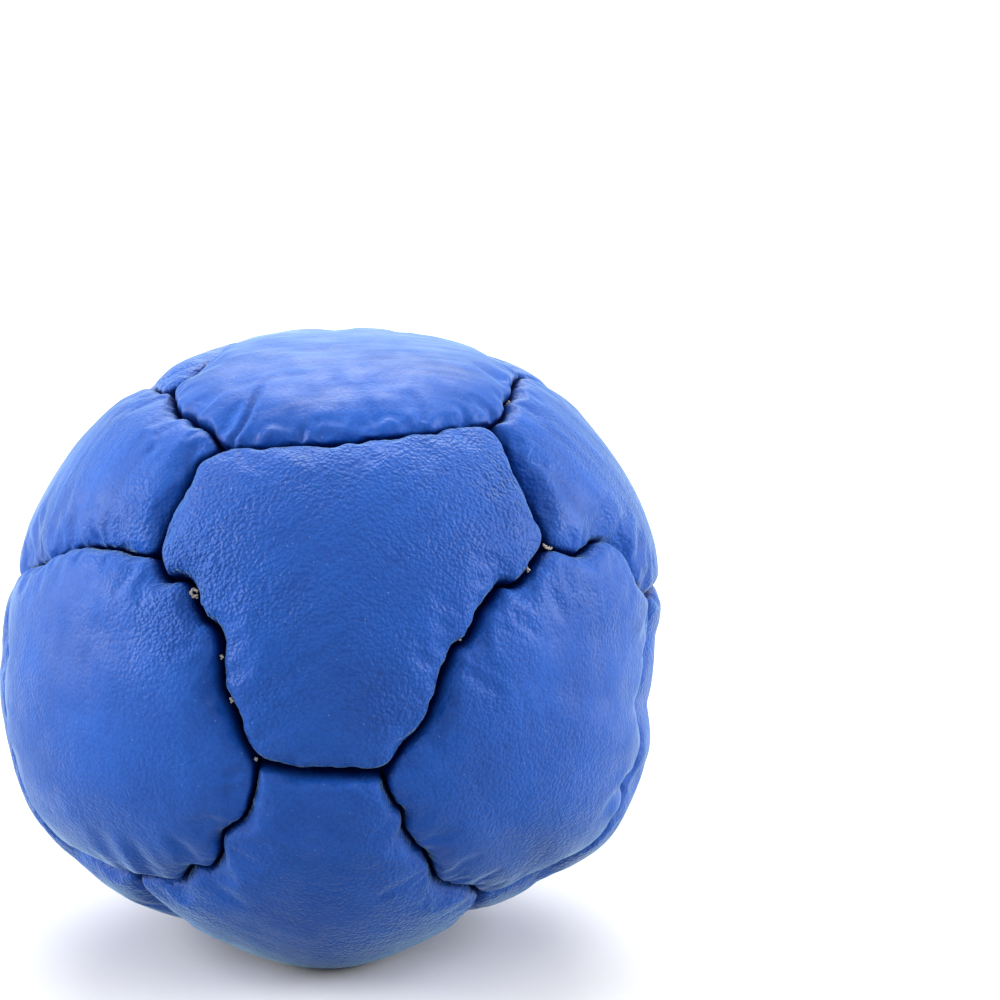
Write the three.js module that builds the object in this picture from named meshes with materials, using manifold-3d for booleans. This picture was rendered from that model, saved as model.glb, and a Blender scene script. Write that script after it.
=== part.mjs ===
// A sewn leather footbag: fourteen panels, the threads that join them and the filling.
// Six panels are square and eight are hexagons, laid out as a truncated octahedron.
// Lengths are in millimetres, +Z is up, and the origin lies under the middle of the bag's base.
import * as THREE from 'three';
import { mergeVertices } from 'three/addons/utils/BufferGeometryUtils.js';
import Module from 'manifold-3d';

// The bag as a whole. Its outline is an ellipse, whose long width rises to the right.
const bag = {
  longRadius: 27.7,      // half the widest width, as seen from the front
  shortRadius: 26.0,     // half the width across that
  depthRadius: 26.9,     // half the depth, front to back
  baseFlat: 1.3,         // how far the weight presses the base flat
};

// Where the outline swells or sinks: degrees round it from the right, as the photograph shows it, and by how much.
const outlineSwell = [
  [20, 0], [60, 0.3], [90, -0.1], [120, 0.4], [150, -0.4], [180, -0.2], [210, 0.4], [245, -0.5], [270, 0.1],
  [305, -0.5], [332, 0.35], [355, -0.8],
];

// The leather and its sewn edges.
const leather = 0.9;         // thickness of a panel
const valleyDepth = 1.8;     // from the panel's shoulder down to the sewn line
const shoulderWidth = 2.1;   // over which a panel rounds down to the sewn line
const crownHeight = 0.7;     // how much a panel's middle swells past the ellipsoid
const seamAllowance = 3.1;   // the turned-in edge below the sewn line
const seamGap = 0.4;         // clear space between two turned-in edges

// The thread and its holes.
const threadDiameter = 0.6;
const holeClearance = 0.3;   // round the thread, in its holes
const runClearance = 0.3;    // between the thread and the leather it runs along
const stitchDepth = 1.3;     // the stitches lie this far below the sewn line
const endGap = 1.2;          // between the two ends of a thread that goes round a square
const tailShare = 0.32;      // a short seam's thread starts at this share of the first step
const cutOverrun = 0.5;      // a hole's cutter runs on this far past the leather

// The filling.
const fillClearance = 0.5;    // between the filling and what lies round it
const fillReach = 0.52;        // its grooves open at this share of the way to a panel's sewn edge

// How fine the faces are. Each step along a seam has one stitch in its middle.
const longSeamSteps = 4;
const shortSeamSteps = 2;
const ringShares = [0.3, 0.64];  // rings between a panel's middle and its shoulder
const innerRingShare = 0.5;
const shoulderShare = 0.3;       // the ring part way down the shoulder

// Layout of the panels. A square's corner lies at cornerShare of the way towards the next square.
const cornerShare = 0.541;
const turnDegrees = -45;  // the front right square faces this way round from +X
const leanDegrees = 5.3;  // and the whole layout leans over towards it

// The photograph looks down on the bag by this much.
const viewDownDegrees = 18;
// Pixels of the photograph: the middle of the bag's outline, and the upper right end of its long width.
const outlinePixels = { middle: [332, 643], longEnd: [644, 525] };
const seamLevelShare = 0.963;  // a seam is seen at this share of the outline's radius
const limbShare = 0.994;       // and no nearer to the outline than this

// Pixels of the photograph where three panels meet: on which square, and towards which other one.
// A third number says how many degrees the corner lies behind the outline.
const cornerPixels = {
  top: { frontLeft: [224, 452], frontRight: [485, 430], rearLeft: [174, 392], rearRight: [520, 385] },
  frontLeft: { top: [160, 555], frontRight: [258, 758], rearLeft: [18, 589], bottom: [136, 873] },
  frontRight: { top: [541, 547], frontLeft: [384, 770], rearRight: [642, 600], bottom: [483, 898] },
  bottom: { frontRight: [459, 930, 7] },
  rearLeft: { top: [136, 398, 13] },
};
const sharedShift = 0.7;  // a hidden corner moves with the seen corner across a short seam by this share

// Pixels of the bends that a seam takes on its way from one corner to the next.
const seamPixels = [
  { from: ['top', 'frontLeft'], to: ['top', 'frontRight'],
    bends: [[250, 447], [306, 446], [395, 438], [440, 434]] },
  { from: ['top', 'frontLeft'], to: ['frontLeft', 'top'],
    bends: [[196, 467], [186, 490], [169, 519]] },
  { from: ['frontLeft', 'top'], to: ['frontLeft', 'frontRight'],
    bends: [[170, 577], [191, 582], [207, 618], [222, 638], [226, 686], [238, 712], [246, 742]] },
  { from: ['frontLeft', 'frontRight'], to: ['frontRight', 'frontLeft'],
    bends: [[282, 763], [338, 767]] },
  { from: ['frontRight', 'top'], to: ['frontRight', 'frontLeft'],
    bends: [[522, 573], [509, 585], [495, 584], [476, 614], [463, 639], [448, 645], [434, 690],
      [427, 714], [408, 738]] },
  { from: ['top', 'frontRight'], to: ['frontRight', 'top'],
    bends: [[501, 443], [517, 472], [532, 504], [539, 526]] },
  { from: ['top', 'frontLeft'], to: ['top', 'rearLeft'],
    bends: [[214, 440], [197, 426], [178, 416], [175, 404]] },
  { from: ['top', 'frontRight'], to: ['top', 'rearRight'],
    bends: [[501, 422], [504, 408], [510, 391]] },
  { from: ['top', 'rearLeft'], to: ['rearLeft', 'top'],
    bends: [[163, 396], [151, 394, 2]] },
  { from: ['top', 'rearLeft'], to: ['top', 'rearRight'],
    bends: [[192, 386], [212, 371], [240, 342, 4], [300, 329, 6], [370, 328, 7], [440, 338, 6],
      [490, 355, 4], [512, 372]] },
  { from: ['frontLeft', 'top'], to: ['frontLeft', 'rearLeft'],
    bends: [[138, 554], [108, 551], [87, 547], [64, 554], [40, 563]] },
  { from: ['frontLeft', 'frontRight'], to: ['frontLeft', 'bottom'],
    bends: [[254, 783], [245, 811], [226, 829], [221, 857], [212, 870], [193, 868], [180, 882],
      [151, 876]] },
  { from: ['frontRight', 'frontLeft'], to: ['frontRight', 'bottom'],
    bends: [[386, 786], [401, 809], [405, 827], [432, 864], [439, 883], [452, 888], [470, 889]] },
  { from: ['frontRight', 'top'], to: ['frontRight', 'rearRight'],
    bends: [[556, 551], [573, 553], [586, 546], [600, 542], [616, 558], [630, 579]] },
  { from: ['frontLeft', 'rearLeft'], to: ['frontLeft', 'bottom'],
    bends: [[8, 690], [16, 740], [38, 800], [70, 842]] },
  { from: ['frontRight', 'rearRight'], to: ['frontRight', 'bottom'],
    bends: [[647, 622], [650, 652], [648, 694], [639, 742], [624, 777], [610, 820], [580, 848],
      [540, 873]] },
];

// Seams that the photograph doesn't show wander from side to side.
const wander = 0.45;
const wanderWaves = 3;

// Panels that swell more or less than the others.
const extraCrown = {
  top_square_panel: -0.9,
  front_right_square_panel: -0.6,
  front_lower_hexagon_panel: 0.3,
  left_upper_hexagon_panel: 0.1,
  left_lower_hexagon_panel: -0.2,
  right_lower_hexagon_panel: 0.5,
};

const leatherMaterial = new THREE.MeshStandardMaterial({ color: 0x3565bd, roughness: 0.5, metalness: 0 });
const threadMaterial = new THREE.MeshStandardMaterial({ color: 0xd9d2c0, roughness: 0.7, metalness: 0 });
const fillingMaterial = new THREE.MeshStandardMaterial({ color: 0xd8d6cd, roughness: 0.6, metalness: 0 });

const wasm = await Module();
wasm.setup();

// Directions

const toRadians = THREE.MathUtils.degToRad;
const right = new THREE.Vector3(1, 0, 0);
const imageUp = new THREE.Vector3(0, Math.sin(toRadians(viewDownDegrees)), Math.cos(toRadians(viewDownDegrees)));
const towardsViewer = new THREE.Vector3().crossVectors(right, imageUp);

// How far right and up a pixel lies from the middle of the bag's outline, in pixels.
function pixelOffset([x, y]) {
  const [middleX, middleY] = outlinePixels.middle;
  return new THREE.Vector2(x - middleX, middleY - y);
}

const longOffset = pixelOffset(outlinePixels.longEnd);
const roll = longOffset.angle();
const longAxis = right.clone().multiplyScalar(Math.cos(roll)).addScaledVector(imageUp, Math.sin(roll));
const shortAxis = imageUp.clone().multiplyScalar(Math.cos(roll)).addScaledVector(right, -Math.sin(roll));

// How far the outline stands out from an ellipse, on the way that a direction takes across the photograph.
function swellAt(direction) {
  const fullTurn = 360;
  const [[start]] = outlineSwell;
  const degrees = THREE.MathUtils.radToDeg(Math.atan2(direction.dot(imageUp), direction.dot(right)));
  const turned = THREE.MathUtils.euclideanModulo(degrees - start, fullTurn) + start;
  const last = outlineSwell.findLastIndex(([knot]) => knot <= turned);
  const [low, lowHeight] = outlineSwell[last];
  const [high, highHeight] = outlineSwell[last + 1] ?? [start + fullTurn, outlineSwell[0][1]];
  return THREE.MathUtils.lerp(lowHeight, highHeight, THREE.MathUtils.smoothstep(turned, low, high));
}

// The bag's radius in a direction: an ellipsoid that swells and sinks a little near its outline.
function bodyRadius(direction) {
  const along = direction.dot(longAxis) / bag.longRadius;
  const across = direction.dot(shortAxis) / bag.shortRadius;
  const deep = direction.dot(towardsViewer) / bag.depthRadius;
  const besideView = 1 - direction.dot(towardsViewer) ** 2;
  return 1 / Math.hypot(along, across, deep) + swellAt(direction) * besideView ** 2;
}

const middle = new THREE.Vector3(0, 0, bodyRadius(new THREE.Vector3(0, 0, -1)) - bag.baseFlat);

// The direction of what the photograph shows at a pixel, or of what lies some degrees behind the outline there.
function seenAt([x, y, degreesBehind]) {
  const offset = pixelOffset([x, y]).rotateAround(new THREE.Vector2(), -roll);
  const seamLevelPixels = longOffset.length() * seamLevelShare;
  let long = offset.x / seamLevelPixels;
  let short = (offset.y / seamLevelPixels) * (bag.longRadius / bag.shortRadius);
  const out = Math.hypot(long, short);
  const held = degreesBehind ? Math.cos(toRadians(degreesBehind)) : Math.min(out, limbShare);
  long *= held / out;
  short *= held / out;
  const deep = Math.sqrt(1 - held * held) * (degreesBehind ? -1 : 1);
  return new THREE.Vector3()
    .addScaledVector(longAxis, long * bag.longRadius)
    .addScaledVector(shortAxis, short * bag.shortRadius)
    .addScaledVector(towardsViewer, deep * bag.depthRadius)
    .normalize();
}

// The six squares and the way each one faces.
const turn = toRadians(turnDegrees);
const frontRightLevel = new THREE.Vector3(Math.cos(turn), Math.sin(turn), 0);
const frontLeftWay = new THREE.Vector3(Math.sin(turn), -Math.cos(turn), 0);
const lean = new THREE.Quaternion().setFromAxisAngle(frontLeftWay, -toRadians(leanDegrees));
const topWay = new THREE.Vector3(0, 0, 1).applyQuaternion(lean);
const frontRightWay = frontRightLevel.applyQuaternion(lean);
const ways = {
  top: topWay,
  bottom: topWay.clone().negate(),
  frontLeft: frontLeftWay,
  rearRight: frontLeftWay.clone().negate(),
  frontRight: frontRightWay,
  rearLeft: frontRightWay.clone().negate(),
};
const hexagonNames = {
  front_upper: ['frontLeft', 'frontRight', 'top'],
  front_lower: ['frontLeft', 'frontRight', 'bottom'],
  left_upper: ['frontLeft', 'rearLeft', 'top'],
  left_lower: ['frontLeft', 'rearLeft', 'bottom'],
  right_upper: ['frontRight', 'rearRight', 'top'],
  right_lower: ['frontRight', 'rearRight', 'bottom'],
  rear_upper: ['rearLeft', 'rearRight', 'top'],
  rear_lower: ['rearLeft', 'rearRight', 'bottom'],
};
const spaced = (name) => name.replace(/[A-Z]/g, (letter) => '_' + letter.toLowerCase());

// A corner lies on one square, towards another.
function regularCorner(square, other) {
  const reach = Math.sqrt(1 - cornerShare * cornerShare);
  return ways[square].clone().multiplyScalar(reach).addScaledVector(ways[other], cornerShare);
}

function cornerWay(square, other) {
  const pixel = cornerPixels[square]?.[other];
  if (pixel) return seenAt(pixel);
  const corner = regularCorner(square, other);
  const across = cornerPixels[other]?.[square];
  if (!across) return corner;
  const shift = seenAt(across).sub(regularCorner(other, square));
  return corner.addScaledVector(shift, sharedShift).normalize();
}

// The squares next to a square, counter-clockwise as seen from outside.
function neighbours(square) {
  const axis = ways[square];
  const beside = Object.keys(ways).filter((name) => Math.abs(ways[name].dot(axis)) < cornerShare);
  const zero = ways[beside[0]];
  const quarter = new THREE.Vector3().crossVectors(axis, zero);
  const angle = (name) => Math.atan2(ways[name].dot(quarter), ways[name].dot(zero));
  return beside.sort((one, two) => angle(one) - angle(two));
}

// Seams

const keyOf = (corner) => corner.join('>');
const seams = new Map();

// The seam between two corners, as directions from the first to the last.
function seamLine(from, to) {
  const [first, last] = [from, to].sort((one, two) => (keyOf(one) < keyOf(two) ? -1 : 1));
  const key = keyOf(first) + '|' + keyOf(last);
  if (!seams.has(key)) seams.set(key, sampleSeam(first, last, seams.size));
  const line = seams.get(key);
  return keyOf(first) === keyOf(from) ? line : [...line].reverse();
}

function sampleSeam(first, last, order) {
  const start = cornerWay(...first);
  const end = cornerWay(...last);
  const steps = first[0] === last[0] ? longSeamSteps : shortSeamSteps;
  const drawn = seamPixels.find(({ from, to }) =>
    [keyOf(from), keyOf(to)].sort().join('|') === keyOf(first) + '|' + keyOf(last));
  if (drawn) {
    const bends = drawn.bends.map(seenAt);
    if (keyOf(drawn.from) !== keyOf(first)) bends.reverse();
    const curve = new THREE.CatmullRomCurve3([start, ...bends, end], false, 'centripetal');
    return curve.getSpacedPoints(steps).map((point) => point.normalize());
  }
  const side = new THREE.Vector3().crossVectors(start, end).normalize();
  const swing = wander / bag.depthRadius;
  return Array.from({ length: steps + 1 }, (_, step) => {
    const share = step / steps;
    const sway = Math.sin(Math.PI * share) * Math.sin(Math.PI * wanderWaves * share + order);
    return start.clone().lerp(end, share).addScaledVector(side, swing * sway).normalize();
  });
}

// The closed line of directions round a panel, counter-clockwise from outside, and where its seams start.
function outlineOf(corners) {
  const points = [];
  const starts = [];
  corners.forEach((corner, index) => {
    starts.push(points.length);
    points.push(...seamLine(corner, corners[(index + 1) % corners.length]).slice(0, -1));
  });
  return { points, starts };
}

// The way across a stretch of an outline, into the panel.
function inwardAcross(from, to) {
  const halfway = from.clone().add(to).normalize();
  return new THREE.Vector3().crossVectors(halfway, to.clone().sub(from)).normalize();
}

// The point of the bag at a distance inwards from a corner point of the outline, and at a radius.
function besidePoint(points, index, inwards, radius) {
  const count = points.length;
  const here = points[index];
  const before = inwardAcross(points[(index + count - 1) % count], here);
  const after = inwardAcross(here, points[(index + 1) % count]);
  const mitre = before.clone().add(after).normalize();
  const reach = inwards / (radius * mitre.dot(after));
  return here.clone().addScaledVector(mitre, reach).normalize();
}

// The two points of the outline that a place between them lies on.
function stretchAt(points, place) {
  const index = Math.floor(place);
  return [points[index % points.length], points[(index + 1) % points.length]];
}

// The point straight across from a place between two points of the outline.
function besideStretch(points, place, inwards, radius) {
  const [from, to] = stretchAt(points, place);
  const here = from.clone().lerp(to, place - Math.floor(place));
  return here.addScaledVector(inwardAcross(from, to), inwards / radius).normalize();
}

const valleyRadius = (direction) => bodyRadius(direction) - valleyDepth;
const stitchRadius = (direction) => valleyRadius(direction) - stitchDepth;

// How far the surface drops at a distance from the sewn edge.
function shoulderDrop(fromEdge) {
  const left = Math.max(0, 1 - fromEdge / shoulderWidth);
  return valleyDepth * (1 - Math.sqrt(1 - left * left));
}

// A direction and a radius as a point over the base. Nothing reaches below the floor given.
function pointAt(direction, radius, floor) {
  const point = direction.clone().multiplyScalar(radius).add(middle);
  point.z = Math.max(point.z, floor);
  return point;
}

// Closed surfaces from rings

// Faces from a middle point through rings of equal length to a last middle point, or to the last ring.
function ringFaces(first, rings, last) {
  const count = rings[0].length;
  const corners = [];
  for (let index = 0; index < count; index += 1) {
    const next = (index + 1) % count;
    corners.push(first, rings[0][index], rings[0][next]);
    for (let ring = 1; ring < rings.length; ring += 1) {
      const [near, far] = [rings[ring - 1], rings[ring]];
      corners.push(near[index], far[index], far[next], near[index], far[next], near[next]);
    }
    if (last) corners.push(rings.at(-1)[index], last, rings.at(-1)[next]);
  }
  return corners;
}

function geometryOf(corners) {
  const geometry = new THREE.BufferGeometry();
  geometry.setAttribute('position', new THREE.Float32BufferAttribute(corners.flatMap((p) => p.toArray()), 3));
  return mergeVertices(geometry, leather / 1000);
}

function solidFrom(geometry) {
  return new wasm.Manifold(new wasm.Mesh({
    numProp: 3,
    vertProperties: new Float32Array(geometry.attributes.position.array),
    triVerts: new Uint32Array(geometry.index.array),
  }));
}

function geometryFrom(solid) {
  const mesh = solid.getMesh();
  const geometry = new THREE.BufferGeometry();
  geometry.setAttribute('position', new THREE.Float32BufferAttribute(mesh.vertProperties, 3));
  geometry.setIndex(new THREE.BufferAttribute(mesh.triVerts, 1));
  return geometry;
}

// Panels

// The radius of a panel's outer face: share is 0 in its middle and 1 at its shoulder.
const faceRadius = (direction, share, crown) => bodyRadius(direction) + crown * (1 - share ** 3);

function middleOf(points) {
  return points.reduce((sum, point) => sum.add(point), new THREE.Vector3()).normalize();
}

// A stitch's hole, through both turned-in edges.
function stitchHole(points, place) {
  const [from, to] = stretchAt(points, place);
  const here = from.clone().add(to).normalize();
  const across = inwardAcross(from, to);
  const along = new THREE.Vector3().crossVectors(across, here).normalize();
  const outwards = new THREE.Vector3().crossVectors(along, across).normalize();
  const width = threadDiameter + 2 * holeClearance;
  const length = seamGap + 2 * (leather + cutOverrun);
  const box = new THREE.BoxGeometry(width, length, width);
  box.applyMatrix4(new THREE.Matrix4().makeBasis(along, across, outwards));
  box.translate(...pointAt(here, stitchRadius(here), 0).toArray());
  box.deleteAttribute('normal');
  box.deleteAttribute('uv');
  return solidFrom(mergeVertices(box));
}

// Where the stitches pass through, counted in points along the outline.
const stitchPlaces = (points) => points.map((point, index) => index + 0.5);

// A ring of points at a distance inwards from the sewn line.
function besideRing(points, inwards, radiusOf, floor) {
  return points.map((point, index) => pointAt(
    besidePoint(points, index, inwards, radiusOf(point)), radiusOf(point), floor));
}

// A ring of points part of the way from a panel's middle to its shoulder, sunk under the outer face.
function faceRing(points, share, crown, sink, floor) {
  const centre = middleOf(points);
  return points.map((point, index) => {
    const rim = besidePoint(points, index, seamGap / 2 + shoulderWidth, bodyRadius(point));
    const direction = centre.clone().lerp(rim, share).normalize();
    return pointAt(direction, faceRadius(direction, share, crown) - sink, floor);
  });
}

// A ring of points on a panel's shoulder, at a distance from its sewn edge.
function shoulderRing(points, fromEdge, sink, floor) {
  const radiusOf = (direction) => bodyRadius(direction) - shoulderDrop(fromEdge) - sink;
  return besideRing(points, seamGap / 2 + fromEdge, radiusOf, floor);
}

// The inner side of a panel: a ring between its middle and its edge, and the ring at its turned-in edge.
const innerRing = (points, crown) => faceRing(points, innerRingShare, crown, leather, leather);
const innerEdge = (points) => shoulderRing(points, leather, leather, leather);

// A panel: its swelling face, rounded shoulder, turned-in edge and inner face.
function panelGeometry({ points }, crown) {
  const centre = middleOf(points);
  const edge = seamGap / 2;
  const rawRadius = (direction) => valleyRadius(direction) - seamAllowance;
  const rings = [
    ...ringShares.map((share) => faceRing(points, share, crown, 0, 0)),
    shoulderRing(points, shoulderWidth, 0, 0),
    shoulderRing(points, shoulderWidth * shoulderShare, 0, 0),
    besideRing(points, edge, valleyRadius, 0),
    besideRing(points, edge, rawRadius, 0),
    besideRing(points, edge + leather, rawRadius, 0),
    innerEdge(points),
    innerRing(points, crown),
  ];
  const outside = pointAt(centre, faceRadius(centre, 0, crown), 0);
  const inside = pointAt(centre, faceRadius(centre, 0, crown) - leather, leather);
  const whole = solidFrom(geometryOf(ringFaces(outside, rings, inside)));
  const holes = stitchPlaces(points).map((place) => stitchHole(points, place));
  return geometryFrom(whole.subtract(wasm.Manifold.union(holes)));
}

// Threads

const threadOffset = seamGap / 2 + leather + runClearance + threadDiameter / 2;

const threadPoint = (direction) => pointAt(direction, stitchRadius(direction), 0);

// The thread's way along one seam: from inside the panel, out through both edges and back, stitch by stitch.
function threadAlong(points, from, to) {
  const beside = (place, side) => {
    const radius = stitchRadius(stretchAt(points, place)[0]);
    return threadPoint(besideStretch(points, place, side * threadOffset, radius));
  };
  const stops = [beside(from, 1)];
  let side = 1;
  for (let half = Math.floor(from * 2) + 1; half < to * 2; half += 1) {
    const place = half / 2;
    if (Number.isInteger(place)) {
      const index = place % points.length;
      stops.push(threadPoint(besidePoint(points, index, side * threadOffset, stitchRadius(points[index]))));
    } else {
      stops.push(beside(place, side), beside(place, -side));
      side = -side;
    }
  }
  return [...stops, beside(to, 1)];
}

// A square thread through the points, with mitred turns and flat ends.
function threadGeometry(path) {
  const half = threadDiameter / 2;
  const rings = path.map((point, index) => {
    const before = index ? point.clone().sub(path[index - 1]).normalize() : null;
    const after = index < path.length - 1 ? path[index + 1].clone().sub(point).normalize() : null;
    const along = (before ?? after).clone().add(after ?? before).normalize();
    const outwards = point.clone().sub(middle).normalize();
    const across = new THREE.Vector3().crossVectors(outwards, along).normalize();
    const upright = new THREE.Vector3().crossVectors(along, across);
    const stretch = 1 / along.dot(after ?? before);
    return [[1, 1], [1, -1], [-1, -1], [-1, 1]].map(([sideways, up]) => point.clone()
      .addScaledVector(across, sideways * half * stretch)
      .addScaledVector(upright, up * half));
  });
  return geometryOf(ringFaces(path[0], rings, path.at(-1)));
}

// The thread that sews a square to the hexagons round it starts and ends half way along a seam.
function squareThread({ points }) {
  const start = longSeamSteps / 2;
  const halfGap = endGap / (2 * points[0].angleTo(points[1]) * bag.depthRadius);
  return threadGeometry(threadAlong(points, start + halfGap, start + points.length - halfGap));
}

// The thread that sews two hexagons together, from one of the hexagons' outlines.
function hexagonThread({ points, starts }, seam) {
  return threadGeometry(threadAlong(points, starts[seam] + tailShare, starts[seam] + shortSeamSteps - tailShare));
}

// Filling

// The filling under one panel, out to the sewn line, where it meets the filling under the next.
function fillingFaces({ points }, crown) {
  const floor = leather + fillClearance;
  const centre = middleOf(points);
  const top = pointAt(centre, faceRadius(centre, 0, crown) - floor, floor);
  const inner = innerRing(points, crown);
  const rim = innerEdge(points).map((point, index) => inner[index].clone().lerp(point, fillReach));
  const sunk = (point) => {
    const out = point.clone().sub(middle);
    return pointAt(out.clone().normalize(), out.length() - fillClearance, floor);
  };
  const grooveHalf = threadOffset + threadDiameter / 2 + fillClearance;
  const lowRadius = (direction) => valleyRadius(direction) - seamAllowance - fillClearance;
  return ringFaces(top, [
    inner.map(sunk),
    rim.map(sunk),
    besideRing(points, grooveHalf, lowRadius, floor),
    besideRing(points, 0, lowRadius, floor),
  ]);
}

// The footbag

const panels = [];
Object.keys(ways).forEach((square) => {
  const corners = neighbours(square).map((other) => [square, other]);
  panels.push({ name: spaced(square) + '_square_panel', square, outline: outlineOf(corners) });
});
Object.entries(hexagonNames).forEach(([name, squares]) => {
  const [one, two, three] = squares.map((square) => ways[square]);
  const rightHanded = new THREE.Vector3().crossVectors(one, two).dot(three) > 0;
  const [p, q, r] = rightHanded ? squares : [...squares].reverse();
  const corners = [[p, q], [q, p], [q, r], [r, q], [r, p], [p, r]];
  panels.push({ name: name + '_hexagon_panel', corners, outline: outlineOf(corners) });
});

const footbag = new THREE.Group();
footbag.name = 'footbag';
function addPiece(name, geometry, material) {
  const mesh = new THREE.Mesh(geometry, material);
  mesh.name = name;
  footbag.add(mesh);
}

const crownOf = (name) => crownHeight + (extraCrown[name] ?? 0);
panels.forEach(({ name, outline }) => addPiece(name, panelGeometry(outline, crownOf(name)), leatherMaterial));
panels.filter(({ square }) => square).forEach(({ square, outline }) =>
  addPiece('thread_round_' + spaced(square) + '_square', squareThread(outline), threadMaterial));
const sewn = new Set();
panels.filter(({ corners }) => corners).forEach(({ corners, outline }) => {
  corners.forEach(([square, other], seam) => {
    const isShort = keyOf(corners[(seam + 1) % corners.length]) === keyOf([other, square]);
    const name = 'thread_' + [square, other].sort().map(spaced).join('_to_');
    if (!isShort || sewn.has(name)) return;
    sewn.add(name);
    addPiece(name, hexagonThread(outline, seam), threadMaterial);
  });
});
addPiece('pellet_filling', geometryOf(
  panels.flatMap(({ name, outline }) => fillingFaces(outline, crownOf(name)))), fillingMaterial);

// The origin goes under the middle of the whole bag.
const bounds = new THREE.Box3().setFromObject(footbag);
const centre = bounds.getCenter(new THREE.Vector3());
footbag.children.forEach(({ geometry }) => geometry.translate(-centre.x, -centre.y, -bounds.min.z));

export default footbag;
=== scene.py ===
import math

import bpy
import numpy as np
from mathutils import Matrix, Vector, noise
from mathutils.geometry import delaunay_2d_cdt


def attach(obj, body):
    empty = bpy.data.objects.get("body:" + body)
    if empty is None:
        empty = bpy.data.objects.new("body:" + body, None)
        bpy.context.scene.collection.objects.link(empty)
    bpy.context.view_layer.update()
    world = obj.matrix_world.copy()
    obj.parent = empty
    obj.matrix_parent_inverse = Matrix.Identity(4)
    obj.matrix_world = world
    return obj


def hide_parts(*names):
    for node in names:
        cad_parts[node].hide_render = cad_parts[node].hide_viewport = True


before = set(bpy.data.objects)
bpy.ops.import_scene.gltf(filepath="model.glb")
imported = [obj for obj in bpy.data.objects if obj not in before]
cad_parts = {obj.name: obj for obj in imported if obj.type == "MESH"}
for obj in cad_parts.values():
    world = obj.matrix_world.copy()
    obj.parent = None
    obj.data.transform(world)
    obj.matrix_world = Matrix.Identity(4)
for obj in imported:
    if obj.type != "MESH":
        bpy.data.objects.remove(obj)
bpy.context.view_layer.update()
print("frame loaded,", len(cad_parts), "solids")

# Lengths are in millimetres until a mesh is made, and mm turns them into metres.
mm = 0.001

bag = {
    "longRadius": 27.7,          # half the widest width, as seen from the front
    "shortRadius": 26.0,         # half the width across that
    "depthRadius": 26.9,         # half the depth
    "middle": (0.163, 0.050, 25.042),
    "cornerShare": 0.541,        # a corner's way from its own square to the next one
    "turnDegrees": -45.0,        # the front right square faces this way round from +X
    "leanDegrees": 5.3,          # and the layout leans over towards it
    "wander": 0.45,              # sideways sway of the seams that the photograph doesn't show
    "wanderWaves": 3,
    "wanderSteps": 80,
    "waver": 0.27,               # small sideways pull of the stitches
    "waverWidth": 2.2,
    "waverDetail": 0.5,          # the part of it that is added in finer waves
    "waverFiner": 2.3,           # and how many times finer they are
    "waverFade": 1.2,            # over which it fades out at a corner
    "sharedShift": 0.7,          # a hidden corner follows the seen one across a short seam
}

view = {
    "down": 18.0,                # degrees
    "distance": 800.0,           # from the lens to the middle of the bag
    "outlineMiddle": (332, 643), # pixels of the photograph
    "outlineLongEnd": (644, 525),
    "frameWidth": 1000,
    "sensor": 36.0,
    "clip": (0.01, 20.0),        # metres
    "seamLevelShare": 0.955,     # a seam is seen at this share of the outline's radius
    "faceLevelShare": 0.995,     # and a fold or spot on a panel at this one
    "limbShare": 0.997,          # and no seam nearer to the outline than this
    "liftSeen": 0.85,            # the part of a seam's lift by which its place moves
}

leather = {
    "thickness": 0.9,
    "valleyDepth": 1.7,          # from the shoulder down to the sewn line
    "valleyWander": 0.3,         # how much that varies, in waves this wide
    "valleyWave": 5.0,
    "cornerRounding": 4,         # passes that round a panel's corners
    "cornerReach": 6,            # points to each side of a corner
    "cornerPull": 0.9,
    "sharpestMitre": 0.6,        # keeps a line that is moved inwards from running far into a sharp corner
    "cornerBlend": 4.0,          # how sharply the shoulders of two seams meet at a corner
    "shoulderWidth": 1.6,        # over which a panel rounds down to the sewn line
    "crown": 0.75,               # how much a panel's middle swells past the ellipsoid
    "domeSteps": 260,            # at most, to find that shape
    "domeClose": 1e-14,          # and how close to it they come, in squares
    "swollenPart": 0.9,          # taken off first, because the pressure of the filling adds it
    "lump": 0.16,                # how far the filling bulges a panel here and there, in waves this wide
    "lumpWave": 9.0,
    "lumpStart": 4,              # from the edge to where the lumps are full
    "noiseRadius": 26,           # about the bag's, so that waves come out in millimetres
    "restSoftness": 0.3,         # how softly the side turns into the flat underside
    "lowest": 0.01,              # above the base
    "allowance": 3.1,            # the turned-in edge below the sewn line
    "halfGap": 0.15,             # from the sewn line to each turned-in edge, at the top
    "gapSoftening": 8,           # passes that even out the gap from seam to seam
    "sewnGap": 0.03,             # and further down, where the two edges touch
    "paintedShadeReach": 0.42,           # of each panel that is painted dark with shade down at the seam
    "edgeStep": 0.42,            # points along the sewn line
    "gridStep": 0.56,            # points in the middle of a panel
    "gridStart": 0.55,           # of a step from the last row to the first of those points
    "edgeRows": (0.14, 0.32, 0.6, 0.96, 1.4),
    "rowShare": 0.92,            # of its distance that a row's point keeps from the outline
    "rowSpacing": 0.62,          # of the edge step between its points, at least
    "flangeRows": (0.2, 0.45, 1.0),
    "chartRadius": 26.5,
}

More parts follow.
